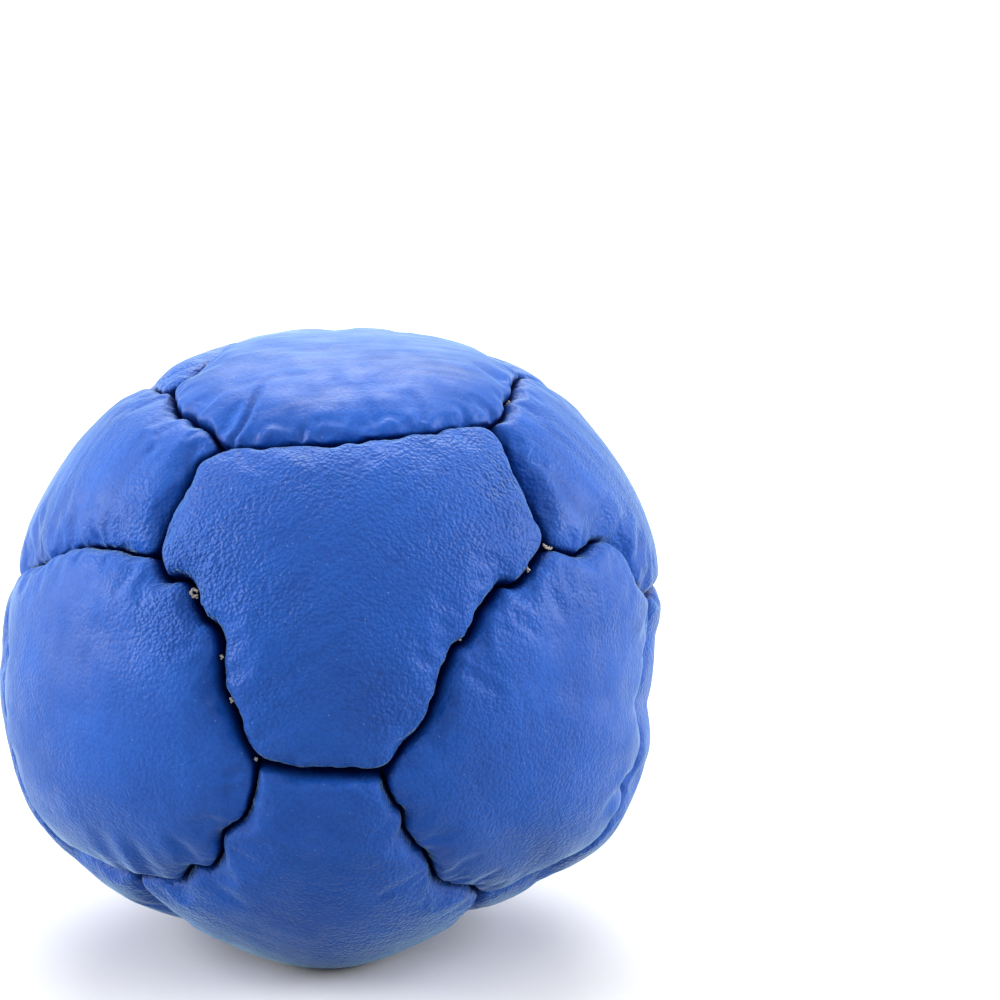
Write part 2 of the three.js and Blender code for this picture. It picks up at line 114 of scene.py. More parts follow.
# Pixels where three panels meet: on which square, and towards which other one.
# A third number says how many degrees the corner lies behind the outline.
cornerPixels = {
    "top": {
        "frontLeft": (224, 452), "frontRight": (485, 430), "rearLeft": (174, 391), "rearRight": (520, 384)},
    "frontLeft": {"top": (160, 555), "frontRight": (258, 758), "rearLeft": (17, 588), "bottom": (136, 873)},
    "frontRight": {"top": (541, 547), "frontLeft": (384, 770), "rearRight": (642, 600), "bottom": (483, 898)},
    "bottom": {"frontRight": (459, 930, 7)},
    "rearLeft": {"top": (136, 398, 13)},
}

# Pixels of the bends that a seam takes from one corner to the next.
seamPixels = {
    "top>frontLeft|top>frontRight": [
        (240, 448), (262, 446), (287, 445), (306, 445), (328, 442), (342, 441), (368, 439),
        (395, 436), (412, 433), (434, 433), (452, 429), (468, 427)],
    "top>frontLeft|frontLeft>top": [(200, 467), (190, 490), (172, 519)],
    "frontLeft>top|frontLeft>frontRight": [
        (169, 577), (190, 582), (206, 618), (220, 638), (225, 686), (237, 712), (246, 742)],
    "frontLeft>frontRight|frontRight>frontLeft": [(282, 765), (338, 769)],
    "frontRight>top|frontRight>frontLeft": [
        (525, 573), (512, 586), (498, 586), (479, 615), (466, 640), (452, 647), (437, 690), (430, 714),
        (410, 739)],
    "top>frontRight|frontRight>top": [(493, 443), (510, 472), (526, 504), (536, 526)],
    "top>frontLeft|top>rearLeft": [
        (219, 444), (210, 436), (202, 428), (191, 420), (183, 418), (177, 414), (175, 404)],
    "top>frontRight|top>rearRight": [(494, 424), (501, 421), (503, 412), (507, 402), (509, 394), (514, 388)],
    "top>rearLeft|rearLeft>top": [(163, 392), (152, 388, 2)],
    "top>rearLeft|top>rearRight": [
        (189, 383), (206, 368), (240, 342, 4), (300, 329, 6), (370, 328, 7), (440, 338, 6), (490, 355, 4),
        (512, 372)],
    "frontLeft>top|frontLeft>rearLeft": [
        (138, 554), (119, 550), (92, 547), (80, 547), (69, 551), (54, 558), (40, 563), (31, 567), (23, 577)],
    "frontLeft>frontRight|frontLeft>bottom": [
        (254, 783), (245, 811), (226, 829), (221, 857), (212, 870), (193, 868), (180, 882), (151, 876)],
    "frontRight>frontLeft|frontRight>bottom": [
        (386, 786), (401, 809), (405, 827), (432, 864), (439, 883), (452, 888), (470, 889)],
    "frontRight>top|frontRight>rearRight": [
        (556, 551), (573, 553), (581, 550), (589, 545), (599, 541), (607, 547), (615, 555), (622, 566),
        (630, 580)],
    "frontLeft>rearLeft|frontLeft>bottom": [(8, 640), (7, 690), (14, 740), (38, 800), (70, 842)],
    "frontRight>rearRight|frontRight>bottom": [
        (646, 612), (650, 640), (650, 656), (648, 694), (640, 722), (639, 742), (634, 756), (626, 768),
        (621, 777), (627, 790), (624, 804), (613, 821), (602, 833), (586, 847), (560, 863), (540, 873)],
}

# Panels that round down to their edges more sharply or more gently than the others
shoulders = {
    "front_upper_hexagon_panel": 1.4,
    "front_left_square_panel": 1.7,
    "front_right_square_panel": 1.75,
    "front_lower_hexagon_panel": 1.3,
    "top_square_panel": 1.4,
    "left_upper_hexagon_panel": 2.2,
    "right_upper_hexagon_panel": 1.6,
}

# Seams that look different from the others: how much less deep they are drawn in, how much narrower
# the panels round down to them, the share of the gap that stays open, and how much more they waver
seamStyles = {
    "top>frontLeft|top>frontRight": {"lift": 0.85, "narrow": 0.3, "gap": 0.45, "waver": 0.8},
    "top>frontLeft|top>rearLeft": {"lift": 0.6, "narrow": 0.45, "gap": 0.8, "waver": 1.2},
    "top>frontRight|top>rearRight": {"lift": 0.7, "narrow": 0.45, "gap": 0.6, "waver": 1.8},
    "rearLeft>top|top>rearLeft": {"lift": 1.25, "narrow": 0.6, "gap": 0.3, "waver": 0.8},
    "rearRight>top|top>rearRight": {"lift": 1.35, "narrow": 0.6, "gap": 0.25, "waver": 0.8},
    "top>rearLeft|top>rearRight": {"lift": 0.7, "narrow": 0.2, "gap": 0.6, "waver": 1.0},
    "frontLeft>rearLeft|frontLeft>top": {"lift": 0.2, "narrow": 0.3, "gap": 0.5, "waver": 1.0},
    "frontRight>rearRight|frontRight>top": {"lift": 0.1, "narrow": 0.3, "gap": 0.6, "waver": 1.3},
    "frontLeft>frontRight|frontRight>frontLeft": {"lift": -0.3, "narrow": 0.0, "gap": 1.3, "waver": 0.5},
    "frontLeft>frontRight|frontLeft>top": {"lift": 0.0, "narrow": 0.1, "gap": 1.1, "waver": 1.2},
    "frontLeft>bottom|frontLeft>frontRight": {"lift": 0.4, "narrow": 0.3, "gap": 0.6, "waver": 1.2},
    "frontRight>bottom|frontRight>frontLeft": {"lift": 0.4, "narrow": 0.3, "gap": 0.6, "waver": 1.2},
}
seamSoftness = 0.5    # how softly one seam's style gives way to the next at a corner
seamHold = 3.0        # and how firmly each holds close to its own seam
seamFacing = 0.5      # seams that face less than this the same way are too far off to count

# Where one of a seam's two panels rounds down to it over a longer way: on top of the panel's own shoulder
longerShoulders = {
    ("left_upper_hexagon_panel", "frontLeft>rearLeft|frontLeft>top"): 1.0,
    ("right_upper_hexagon_panel", "frontRight>rearRight|frontRight>top"): 0.7,
}

# Panels that swell more or less than the others
extraCrown = {
    "top_square_panel": -0.9,
    "front_right_square_panel": -0.6,
    "front_lower_hexagon_panel": 0.3,
    "left_upper_hexagon_panel": 0.1,
    "left_lower_hexagon_panel": -0.2,
    "right_lower_hexagon_panel": 0.5,
}


def unit(vectors):
    return vectors / np.linalg.norm(vectors, axis=-1, keepdims=True)


# The photograph's directions, and the axes of the bag's outline
down = math.radians(view["down"])
rightWay = np.array((1.0, 0.0, 0.0))
imageUp = np.array((0.0, math.sin(down), math.cos(down)))
towardsViewer = np.cross(rightWay, imageUp)
bagMiddle = np.array(bag["middle"])
longX = view["outlineLongEnd"][0] - view["outlineMiddle"][0]
longY = view["outlineMiddle"][1] - view["outlineLongEnd"][1]
roll = math.atan2(longY, longX)
pixelsPerMm = math.hypot(longX, longY) / bag["longRadius"]
longAxis = rightWay * math.cos(roll) + imageUp * math.sin(roll)
shortAxis = imageUp * math.cos(roll) - rightWay * math.sin(roll)
bagAxes = np.array((longAxis, shortAxis, towardsViewer))
bagRadii = np.array((bag["longRadius"], bag["shortRadius"], bag["depthRadius"]))

# The camera looks past the bag, so that the bag lands where the photograph has it.
half = view["frameWidth"] / 2
focalPixels = pixelsPerMm * view["distance"]
eye = bagMiddle + towardsViewer * view["distance"]
aim = (bagMiddle + rightWay * (half - view["outlineMiddle"][0]) / pixelsPerMm
       + imageUp * (view["outlineMiddle"][1] - half) / pixelsPerMm)
forward = unit(aim - eye)
lensRight = unit(np.cross(forward, imageUp))
lensUp = np.cross(lensRight, forward)

cameraData = bpy.data.cameras.new("camera")
cameraData.sensor_width = view["sensor"]
cameraData.lens = focalPixels / view["frameWidth"] * view["sensor"]
cameraData.clip_start, cameraData.clip_end = view["clip"]
cameraObject = bpy.data.objects.new("camera", cameraData)
bpy.context.scene.collection.objects.link(cameraObject)
cameraObject.matrix_world = Matrix((
    (lensRight[0], lensUp[0], -forward[0], eye[0] * mm),
    (lensRight[1], lensUp[1], -forward[1], eye[1] * mm),
    (lensRight[2], lensUp[2], -forward[2], eye[2] * mm),
    (0, 0, 0, 1),
))
bpy.context.scene.camera = cameraObject
print("camera placed")


# Where the outline swells or sinks: degrees round it from the right, as the camera sees it, and by how much.
outlineSwell = {
    10: -0.1, 20: -0.04, 40: 0.0, 52: 0.42, 62: 0.14, 80: -0.22, 90: -0.35, 102: 0.05, 118: -0.05, 130: 0.04,
    140: -0.15, 150: -0.38, 170: -0.34, 180: -0.64, 192: -0.1, 210: 0.6, 225: -0.42, 240: -1.05, 250: -0.66,
    270: 0.27, 290: -0.83, 300: -1.12, 310: -0.83, 325: 1.1, 340: 0.2, 350: -1.26, 360: -1.4,
}
swellDegrees = np.array(list(outlineSwell))
swellHeights = np.array(list(outlineSwell.values()))


# The bag's radius in each direction: an ellipsoid that swells and sinks a little.
def bodyRadius(directions):
    toViewer = directions @ towardsViewer
    degrees = np.degrees(np.arctan2(directions @ imageUp, directions @ rightWay)) % 360
    start = swellDegrees[0]
    turned = (degrees - start) % 360
    knots = np.append((swellDegrees - start) % 360, 360)
    heights = np.append(swellHeights, swellHeights[0])
    low = np.clip(np.searchsorted(knots, turned, side="right") - 1, 0, len(knots) - 2)
    share = (turned - knots[low]) / (knots[low + 1] - knots[low])
    share = share * share * (3 - 2 * share)
    swell = heights[low] + (heights[low + 1] - heights[low]) * share
    ellipsoid = 1 / np.linalg.norm((directions @ bagAxes.T) / bagRadii, axis=-1)
    return ellipsoid + swell * (1 - toViewer**2) ** 2


def seenAt(pixel, levelShare=view["seamLevelShare"]):
    across, upwards = (pixel[0] - half) / focalPixels, (half - pixel[1]) / focalPixels
    ray = unit(forward + lensRight * across + lensUp * upwards)
    start = (bagAxes @ (eye - bagMiddle)) / bagRadii
    along = unit((bagAxes @ ray) / bagRadii)
    nearest = start - along * (start @ along)
    out = np.linalg.norm(nearest) / levelShare
    behind = pixel[2] if len(pixel) > 2 else 0
    held = math.cos(math.radians(behind)) if behind else min(out, view["limbShare"])
    deep = math.sqrt(1 - held * held) * (-1 if behind else 1)
    place = unit(nearest) * held - along * deep
    return unit((place * bagRadii) @ bagAxes)


# The six squares, and the way each one faces
turn = math.radians(bag["turnDegrees"])
frontRightLevel = Vector((math.cos(turn), math.sin(turn), 0))
frontLeftWay = Vector((math.sin(turn), -math.cos(turn), 0))
leanTurn = Matrix.Rotation(-math.radians(bag["leanDegrees"]), 3, frontLeftWay)
topWay = np.array(leanTurn @ Vector((0, 0, 1)))
frontRightWay = np.array(leanTurn @ frontRightLevel)
frontLeftWay = np.array(frontLeftWay)
squareWays = {
    "top": topWay,
    "bottom": -topWay,
    "frontLeft": frontLeftWay,
    "rearRight": -frontLeftWay,
    "frontRight": frontRightWay,
    "rearLeft": -frontRightWay,
}
hexagonSquares = {
    "front_upper": ("frontLeft", "frontRight", "top"),
    "front_lower": ("frontLeft", "frontRight", "bottom"),
    "left_upper": ("frontLeft", "rearLeft", "top"),
    "left_lower": ("frontLeft", "rearLeft", "bottom"),
    "right_upper": ("frontRight", "rearRight", "top"),
    "right_lower": ("frontRight", "rearRight", "bottom"),
    "rear_upper": ("rearLeft", "rearRight", "top"),
    "rear_lower": ("rearLeft", "rearRight", "bottom"),
}


def spaced(name):
    return "".join("_" + letter.lower() if letter.isupper() else letter for letter in name)


def keyOf(corner):
    return ">".join(corner)


def seamKey(start, end):
    return "|".join(sorted((keyOf(start), keyOf(end))))


def regularCorner(square, other):
    share = bag["cornerShare"]
    return squareWays[square] * math.sqrt(1 - share * share) + squareWays[other] * share


# A seam that is drawn in less deep is seen at a larger share of the outline's radius.
def levelOf(keys):
    lift = sum(seamStyles.get(key, {}).get("lift", 0) for key in keys) / len(keys)
    return view["seamLevelShare"] + lift / bag["longRadius"] * view["liftSeen"]


# The corner on a square towards another one, as the photograph shows it.
def seenCorner(square, other):
    pixel = cornerPixels.get(square, {}).get(other)
    if not pixel:
        return None
    thirds = [name for name, way in squareWays.items()
              if abs(way @ squareWays[square]) < 0.5 and abs(way @ squareWays[other]) < 0.5]
    here = (square, other)
    keys = [seamKey(here, (other, square)), *(seamKey(here, (square, third)) for third in thirds)]
    return seenAt(pixel, levelOf(keys))


def cornerWay(square, other):
    seen = seenCorner(square, other)
    if seen is not None:
        return seen
    corner = regularCorner(square, other)
    across = seenCorner(other, square)
    if across is None:
        return corner
    return unit(corner + (across - regularCorner(other, square)) * bag["sharedShift"])


# The squares next to a square, counter-clockwise as seen from outside.
def neighbours(square):
    axis = squareWays[square]
    beside = [name for name, way in squareWays.items() if abs(way @ axis) < bag["cornerShare"]]
    zero = squareWays[beside[0]]
    quarter = np.cross(axis, zero)
    angles = {name: math.atan2(squareWays[name] @ quarter, squareWays[name] @ zero) for name in beside}
    return sorted(beside, key=lambda name: round(angles[name], 6))


# A smooth curve through the points, with as many new ones on each stretch.
def curveThrough(points, perStretch=24):
    points = np.array(points)
    before = 2 * points[0] - points[1]
    after = 2 * points[-1] - points[-2]
    held = np.vstack((before, points, after))
    curve = []
    for index in range(len(points) - 1):
        p0, p1, p2, p3 = held[index:index + 4]
        t0, t1, t2 = (math.sqrt(np.linalg.norm(b - a)) for a, b in ((p0, p1), (p1, p2), (p2, p3)))
        leave = ((p1 - p0) / t0 - (p2 - p0) / (t0 + t1) + (p2 - p1) / t1) * t1
        reach = ((p2 - p1) / t1 - (p3 - p1) / (t1 + t2) + (p3 - p2) / t2) * t1
        for step in range(perStretch):
            t = step / perStretch
            curve.append(p1 * (2 * t**3 - 3 * t**2 + 1) + leave * (t**3 - 2 * t**2 + t)
                         + p2 * (3 * t**2 - 2 * t**3) + reach * (t**3 - t**2))
    curve.append(points[-1])
    return np.array(curve)


def evenlySpaced(curve, step):
    lengths = np.concatenate(((0,), np.cumsum(np.linalg.norm(np.diff(curve, axis=0), axis=1))))
    count = max(4, round(lengths[-1] / step))
    places = np.linspace(0, lengths[-1], count + 1)
    return np.stack([np.interp(places, lengths, curve[:, axis]) for axis in range(3)], axis=1)


# The stitches pull a seam a little to each side between its corners.
def wavered(line, seed, share):
    side = unit(np.cross(line, np.gradient(line, axis=0)))
    places = np.arange(len(line)) * leather["edgeStep"]
    total = places[-1]
    sway = np.array([
        bag["waver"] * noise.noise(Vector((wave, seed * 7.3, 0.5)))
        + bag["waver"] * bag["waverDetail"] * noise.noise(Vector((wave * bag["waverFiner"], seed * 3.1, 9.5)))
        for wave in places / bag["waverWidth"]])
    held = np.minimum(1, np.minimum(places, total - places) / bag["waverFade"])
    return unit(line + side * (share * sway * held / leather["chartRadius"])[:, None])


seamLines = {}


# The seam between two corners, as directions from the first to the last.
def seamLine(start, end):
    first, last = sorted((start, end), key=keyOf)
    key = keyOf(first) + "|" + keyOf(last)
    if key not in seamLines:
        firstWay, lastWay = cornerWay(*first), cornerWay(*last)
        bends = seamPixels.get(key)
        backwards = seamPixels.get(keyOf(last) + "|" + keyOf(first))
        if bends is None and backwards is not None:
            bends = backwards[::-1]
        if bends:
            level = levelOf([key])
            curve = curveThrough([firstWay, *(seenAt(pixel, level) for pixel in bends), lastWay])
        else:
            side = unit(np.cross(firstWay, lastWay))
            shares = np.linspace(0, 1, bag["wanderSteps"])[:, None]
            sway = np.sin(np.pi * shares) * np.sin(np.pi * bag["wanderWaves"] * shares + len(seamLines))
            moved = side * sway * bag["wander"] / bag["depthRadius"]
            curve = firstWay + (lastWay - firstWay) * shares + moved
        even = evenlySpaced(unit(curve), leather["edgeStep"] / leather["chartRadius"])
        seamLines[key] = wavered(even, len(seamLines), seamStyles.get(key, {}).get("waver", 1.0))
    line = unit(seamLines[key])
    return line if keyOf(first) == keyOf(start) else line[::-1]


panelCorners = {}
for square in squareWays:
    panelCorners[spaced(square) + "_square_panel"] = [(square, other) for other in neighbours(square)]
for name, (a, b, c) in hexagonSquares.items():
    if np.cross(squareWays[a], squareWays[b]) @ squareWays[c] < 0:
        a, c = c, a
    panelCorners[name + "_hexagon_panel"] = [(a, b), (b, a), (b, c), (c, b), (c, a), (a, c)]


chartGuide = (0.31, 0.52, 0.79)    # any way that no panel faces


# A flat map of the bag round a panel's middle, with true distances from that middle.
class Chart:
    def __init__(self, outline):
        self.middle = unit(outline.sum(axis=0))
        self.across = unit(np.cross(chartGuide, self.middle))
        self.up = np.cross(self.middle, self.across)

    def flat(self, directions):
        x, y, z = directions @ self.across, directions @ self.up, directions @ self.middle
        out = np.hypot(x, y)
        scale = leather["chartRadius"] * np.arctan2(out, z) / np.maximum(out, 1e-9)
        return np.stack((x * scale, y * scale), axis=-1)

    def round(self, points):
        reach = np.linalg.norm(points, axis=-1)
        angle = reach / leather["chartRadius"]
        scale = np.sin(angle) / np.maximum(reach, 1e-9)
        return (self.middle * np.cos(angle)[:, None] + self.across * (points[:, 0] * scale)[:, None]
                + self.up * (points[:, 1] * scale)[:, None])


# How far each point lies from a line of points.
def distanceToLine(points, line, closed=False):
    starts = line if closed else line[:-1]
    ends = np.roll(line, -1, axis=0) if closed else line[1:]
    stretches = ends - starts
    lengths = np.maximum((stretches**2).sum(axis=1), 1e-12)
    best = np.full(len(points), 1e9)
    for low in range(0, len(points), 4000):
        some = points[low:low + 4000]
        apart = some[:, None, :] - starts[None]
        shares = np.clip((apart * stretches).sum(axis=2) / lengths, 0, 1)
        nearest = np.linalg.norm(apart - shares[..., None] * stretches, axis=2)
        best[low:low + 4000] = nearest.min(axis=1)
    return best


def insideLoop(points, loop):
    x, y = points[:, 0:1], points[:, 1:2]
    ax, ay = loop[:, 0], loop[:, 1]
    bx, by = np.roll(ax, -1), np.roll(ay, -1)
    crosses = (ay > y) != (by > y)
    where = ax + (y - ay) * (bx - ax) / np.where(by == ay, 1e-12, by - ay)
    return (crosses & (x < where)).sum(axis=1) % 2 == 1


def movedInwards(loop, distance):
    after = unit(np.roll(loop, -1, axis=0) - loop)
    before = np.roll(after, 1, axis=0)
    inAfter = np.stack((-after[:, 1], after[:, 0]), axis=1)
    inBefore = np.stack((-before[:, 1], before[:, 0]), axis=1)
    mitre = unit(inAfter + inBefore)
    stretch = 1 / np.maximum((mitre * inAfter).sum(axis=1), leather["sharpestMitre"])
    return loop + mitre * (distance * stretch)[:, None]


# Half the gap at each point of a panel's outline, changing softly from seam to seam.
def halfGaps(corners, seams):
    gaps = []
    for corner, after, seam in zip(corners, corners[1:] + corners[:1], seams):
        share = seamStyles.get(seamKey(corner, after), {}).get("gap", 1.0)
        gaps += [share] * (len(seam) - 1)
    gaps = np.array(gaps)
    for _ in range(leather["gapSoftening"]):
        gaps = (np.roll(gaps, 1) + 2 * gaps + np.roll(gaps, -1)) / 4
    return gaps * leather["halfGap"]


# The turned-in leather rounds off a panel's corners.
def roundedCorners(loop, starts):
    count = len(loop)
    away = np.abs((np.arange(count)[:, None] - starts[None] + count // 2) % count - count // 2).min(axis=1)
    share = np.clip(1 - away / leather["cornerReach"], 0, 1)[:, None]
    for _ in range(leather["cornerRounding"]):
        between = (np.roll(loop, 1, axis=0) + np.roll(loop, -1, axis=0)) / 2
        loop = loop + (between - loop) * share * leather["cornerPull"]
    return loop


# One panel's flat points and faces, with the lines at its edge: the outline that the rim follows,
# the line further down where it meets the next panel, and the seams themselves.
def panelSheet(name):
    corners = panelCorners[name]
    seams = [seamLine(corner, after) for corner, after in zip(corners, corners[1:] + corners[:1])]
    outline = np.vstack([seam[:-1] for seam in seams])
    chart = Chart(outline)
    sewn = movedInwards(chart.flat(outline), leather["sewnGap"])
    loop = movedInwards(chart.flat(outline), halfGaps(corners, seams))
    starts = np.cumsum([0] + [len(seam) - 1 for seam in seams[:-1]])
    loop = roundedCorners(loop, starts)
    kept = [loop]
    for row in leather["edgeRows"]:
        points = movedInwards(loop, row)
        clear = distanceToLine(points, loop, closed=True) > row * leather["rowShare"]
        good = insideLoop(points, loop) & clear
        chosen = []
        for point in points[good]:
            if not chosen or np.linalg.norm(point - chosen[-1]) > leather["edgeStep"] * leather["rowSpacing"]:
                chosen.append(point)
        kept.append(np.array(chosen))
    step = leather["gridStep"]
    low, high = loop.min(axis=0), loop.max(axis=0)
    rows = np.arange(low[1], high[1], step * math.sqrt(3) / 2)
    grid = np.array([(x + (index % 2) * step / 2, y) for index, y in enumerate(rows)
                     for x in np.arange(low[0], high[0], step)])
    grid = grid[insideLoop(grid, loop)]
    clear = leather["edgeRows"][-1] + step * leather["gridStart"]
    grid = grid[distanceToLine(grid, loop, closed=True) > clear]
    points = np.vstack((*kept, grid))
    edges = [(index, (index + 1) % len(loop)) for index in range(len(loop))]
    made = delaunay_2d_cdt([Vector(point) for point in points], edges, [], 1, 1e-6)
    flat = np.array([tuple(point) for point in made[0]])
    faces = [tuple(face) for face in made[2]]
    place = {}
    for new, olds in enumerate(made[3]):
        for old in olds:
            place[old] = new
    rim = [place[index] for index in range(len(loop))]
    flatSeams = [chart.flat(seam) for seam in seams]
    return {"name": name, "chart": chart, "flat": flat, "faces": faces, "rim": rim, "loop": loop,
            "sewn": sewn, "seams": flatSeams}


def edgesOf(faces):
    corners = np.array(faces)
    pairs = np.vstack((corners[:, (0, 1)], corners[:, (1, 2)], corners[:, (2, 0)]))
    return np.unique(np.sort(pairs, axis=1), axis=0)


# A soft dome over the panel, from 0 at its edge to 1 in its middle: the shape of a blown-up skin.
# Each step comes closer to the heights at which every point is pulled down as much as it is blown up.
def domeOver(sheet):
    pairs = edgesOf(sheet["faces"])
    count = len(sheet["flat"])
    lengths = np.linalg.norm(sheet["flat"][pairs[:, 0]] - sheet["flat"][pairs[:, 1]], axis=1)
    weights = 1 / lengths
    free = np.ones(count)
    free[sheet["rim"]] = 0
    areas = (np.bincount(pairs[:, 0], lengths, count) + np.bincount(pairs[:, 1], lengths, count)) / 6

    def pull(heights):
        flow = weights * (heights[pairs[:, 0]] - heights[pairs[:, 1]])
        return (np.bincount(pairs[:, 0], flow, count) - np.bincount(pairs[:, 1], flow, count)) * free

    heights = np.zeros(count)
    left = areas * free
    step = left.copy()
    size = left @ left
    for _ in range(leather["domeSteps"]):
        moved = pull(step)
        share = size / (step @ moved)
        heights += share * step
        left -= share * moved
        newSize = left @ left
        if newSize < size * leather["domeClose"]:
            break
        step = left + step * newSize / size
        size = newSize
    return heights / heights.max()


# Smooth noise from -1 to 1 at points of the bag. scale is the width of its waves, and each seed takes
# it from another place.
def noiseAt(points, scale, seed):
    shift = Vector((seed * 17.3, seed * 5.1, seed * 9.7))
    return np.array([noise.noise(Vector(point) / scale + shift) for point in points])


# How much each seam's own style counts at each direction: a row for each seam. The shares add up to 1.
def seamShares(directions):
    weights = np.zeros((len(seamLines), len(directions)))
    for row, line in enumerate(seamLines.values()):
        facing = np.flatnonzero(directions @ line.mean(axis=0) > seamFacing)
        near = distanceToLine(directions[facing], line[::2]) * leather["chartRadius"]
        weights[row, facing] = (near + seamSoftness) ** -seamHold
    return weights / weights.sum(axis=0)


def styleOf(shares, name, plain):
    return np.array([seamStyles.get(key, {}).get(name, plain) for key in seamLines]) @ shares


# The panel's points in their places, with its turned-in edge. The last rows are the edge.
def shapedSheet(sheet):
    directions = sheet["chart"].round(sheet["flat"])
    gaps = np.stack([distanceToLine(sheet["flat"], seam) for seam in sheet["seams"]])
    gaps = np.maximum(gaps - leather["halfGap"] / 2, 1e-3)
    fromEdge = (gaps ** -leather["cornerBlend"]).sum(axis=0) ** (-1 / leather["cornerBlend"])
    fromLoop = distanceToLine(sheet["flat"], sheet["loop"], closed=True)
    fromEdge = np.minimum(fromEdge, np.maximum(fromLoop, 1e-3))
    radius = bodyRadius(directions)
    places = directions * leather["noiseRadius"]
    valley = leather["valleyDepth"] + leather["valleyWander"] * noiseAt(places, leather["valleyWave"], 3)
    shares = seamShares(directions)
    valley -= styleOf(shares, "lift", 0)
    longer = np.array([longerShoulders.get((sheet["name"], key), 0) for key in seamLines]) @ shares
    shoulder = shoulders.get(sheet["name"], leather["shoulderWidth"])
    shoulder = shoulder * (1 + longer - styleOf(shares, "narrow", 0))
    left = np.maximum(0, 1 - fromEdge / shoulder)
    drop = valley * (1 - np.sqrt(np.maximum(0, 1 - left * left)))
    drop[sheet["rim"]] = valley[sheet["rim"]]
    crown = leather["crown"] + extraCrown.get(sheet["name"], 0)
    crown -= leather["swollenPart"]
    lumps = leather["lump"] * noiseAt(places, leather["lumpWave"], 5)
    lumps *= np.minimum(1, fromEdge / leather["lumpStart"])
    height = radius - drop + crown * domeOver(sheet) + lumps
    points = bagMiddle + directions * height[:, None]
    count = len(points)
    rim = np.array(sheet["rim"])
    rows = [points]
    faces = list(sheet["faces"])
    above = rim
    for index, share in enumerate(leather["flangeRows"]):
        closed = min(1, share / leather["flangeRows"][1])
        turnedIn = sheet["chart"].round(sheet["loop"] + (sheet["sewn"] - sheet["loop"]) * closed)
        rows.append(bagMiddle + turnedIn * (height[rim] - leather["allowance"] * share)[:, None])
        below = count + index * len(rim) + np.arange(len(rim))
        for here in range(len(rim)):
            there = (here + 1) % len(rim)
            faces.append((above[here], below[here], below[there], above[there]))
        above = below
    sheet["pinned"] = np.zeros(count + len(leather["flangeRows"]) * len(rim), bool)
    sheet["pinned"][rim] = True
    sheet["pinned"][count:] = True
    sheet["faceCount"] = count
    sheet["solidFaces"] = [tuple(int(corner) for corner in face) for face in faces]
    return restedOnBase(np.vstack(rows))


# The weight presses the underside flat.
def restedOnBase(points):
    rested = points.copy()
    soft = leather["restSoftness"]
    rested[:, 2] = (points[:, 2] + np.sqrt(points[:, 2] ** 2 + soft * soft)) / 2
    return rested


sheets = [panelSheet(name) for name in panelCorners]
for sheet in sheets:
    sheet["points"] = shapedSheet(sheet)
print("panels laid out,", sum(len(sheet["points"]) for sheet in sheets), "points")


def deselectAll():
    for item in bpy.context.selected_objects:
        item.select_set(False)


def addMesh(name, points, faces):
    mesh = bpy.data.meshes.new(name)
    mesh.from_pydata([tuple(point) for point in points], [], faces)
    mesh.update()
    piece = bpy.data.objects.new(name, mesh)
    bpy.context.scene.collection.objects.link(piece)
    return piece


def applyModifier(piece, modifier):
    deselectAll()
    bpy.context.view_layer.objects.active = piece
    piece.select_set(True)
    bpy.ops.object.modifier_apply(modifier=modifier.name)


def pointsOf(piece):
    flat = np.empty(len(piece.data.vertices) * 3)
    piece.data.vertices.foreach_get("co", flat)
    return flat.reshape(-1, 3)


def setPoints(piece, points):
    piece.data.vertices.foreach_set("co", np.ascontiguousarray(points, dtype=np.float32).ravel())
    piece.data.update()


swelling = {
    "scale": 0.02,          # metres of the simulation to a millimetre of the bag
    "frames": 18,
    "pressure": 5.0,
    "growth": 0.03,         # the leather is cut this much larger than its place
    "stiffness": 18.0,
    "bending": 2.5,
    "damping": 25,
    "airDamping": 5,
    "quality": 6,           # steps to a frame
    "mass": 0.3,
    "most": 0.75,           # no point moves further than this
}


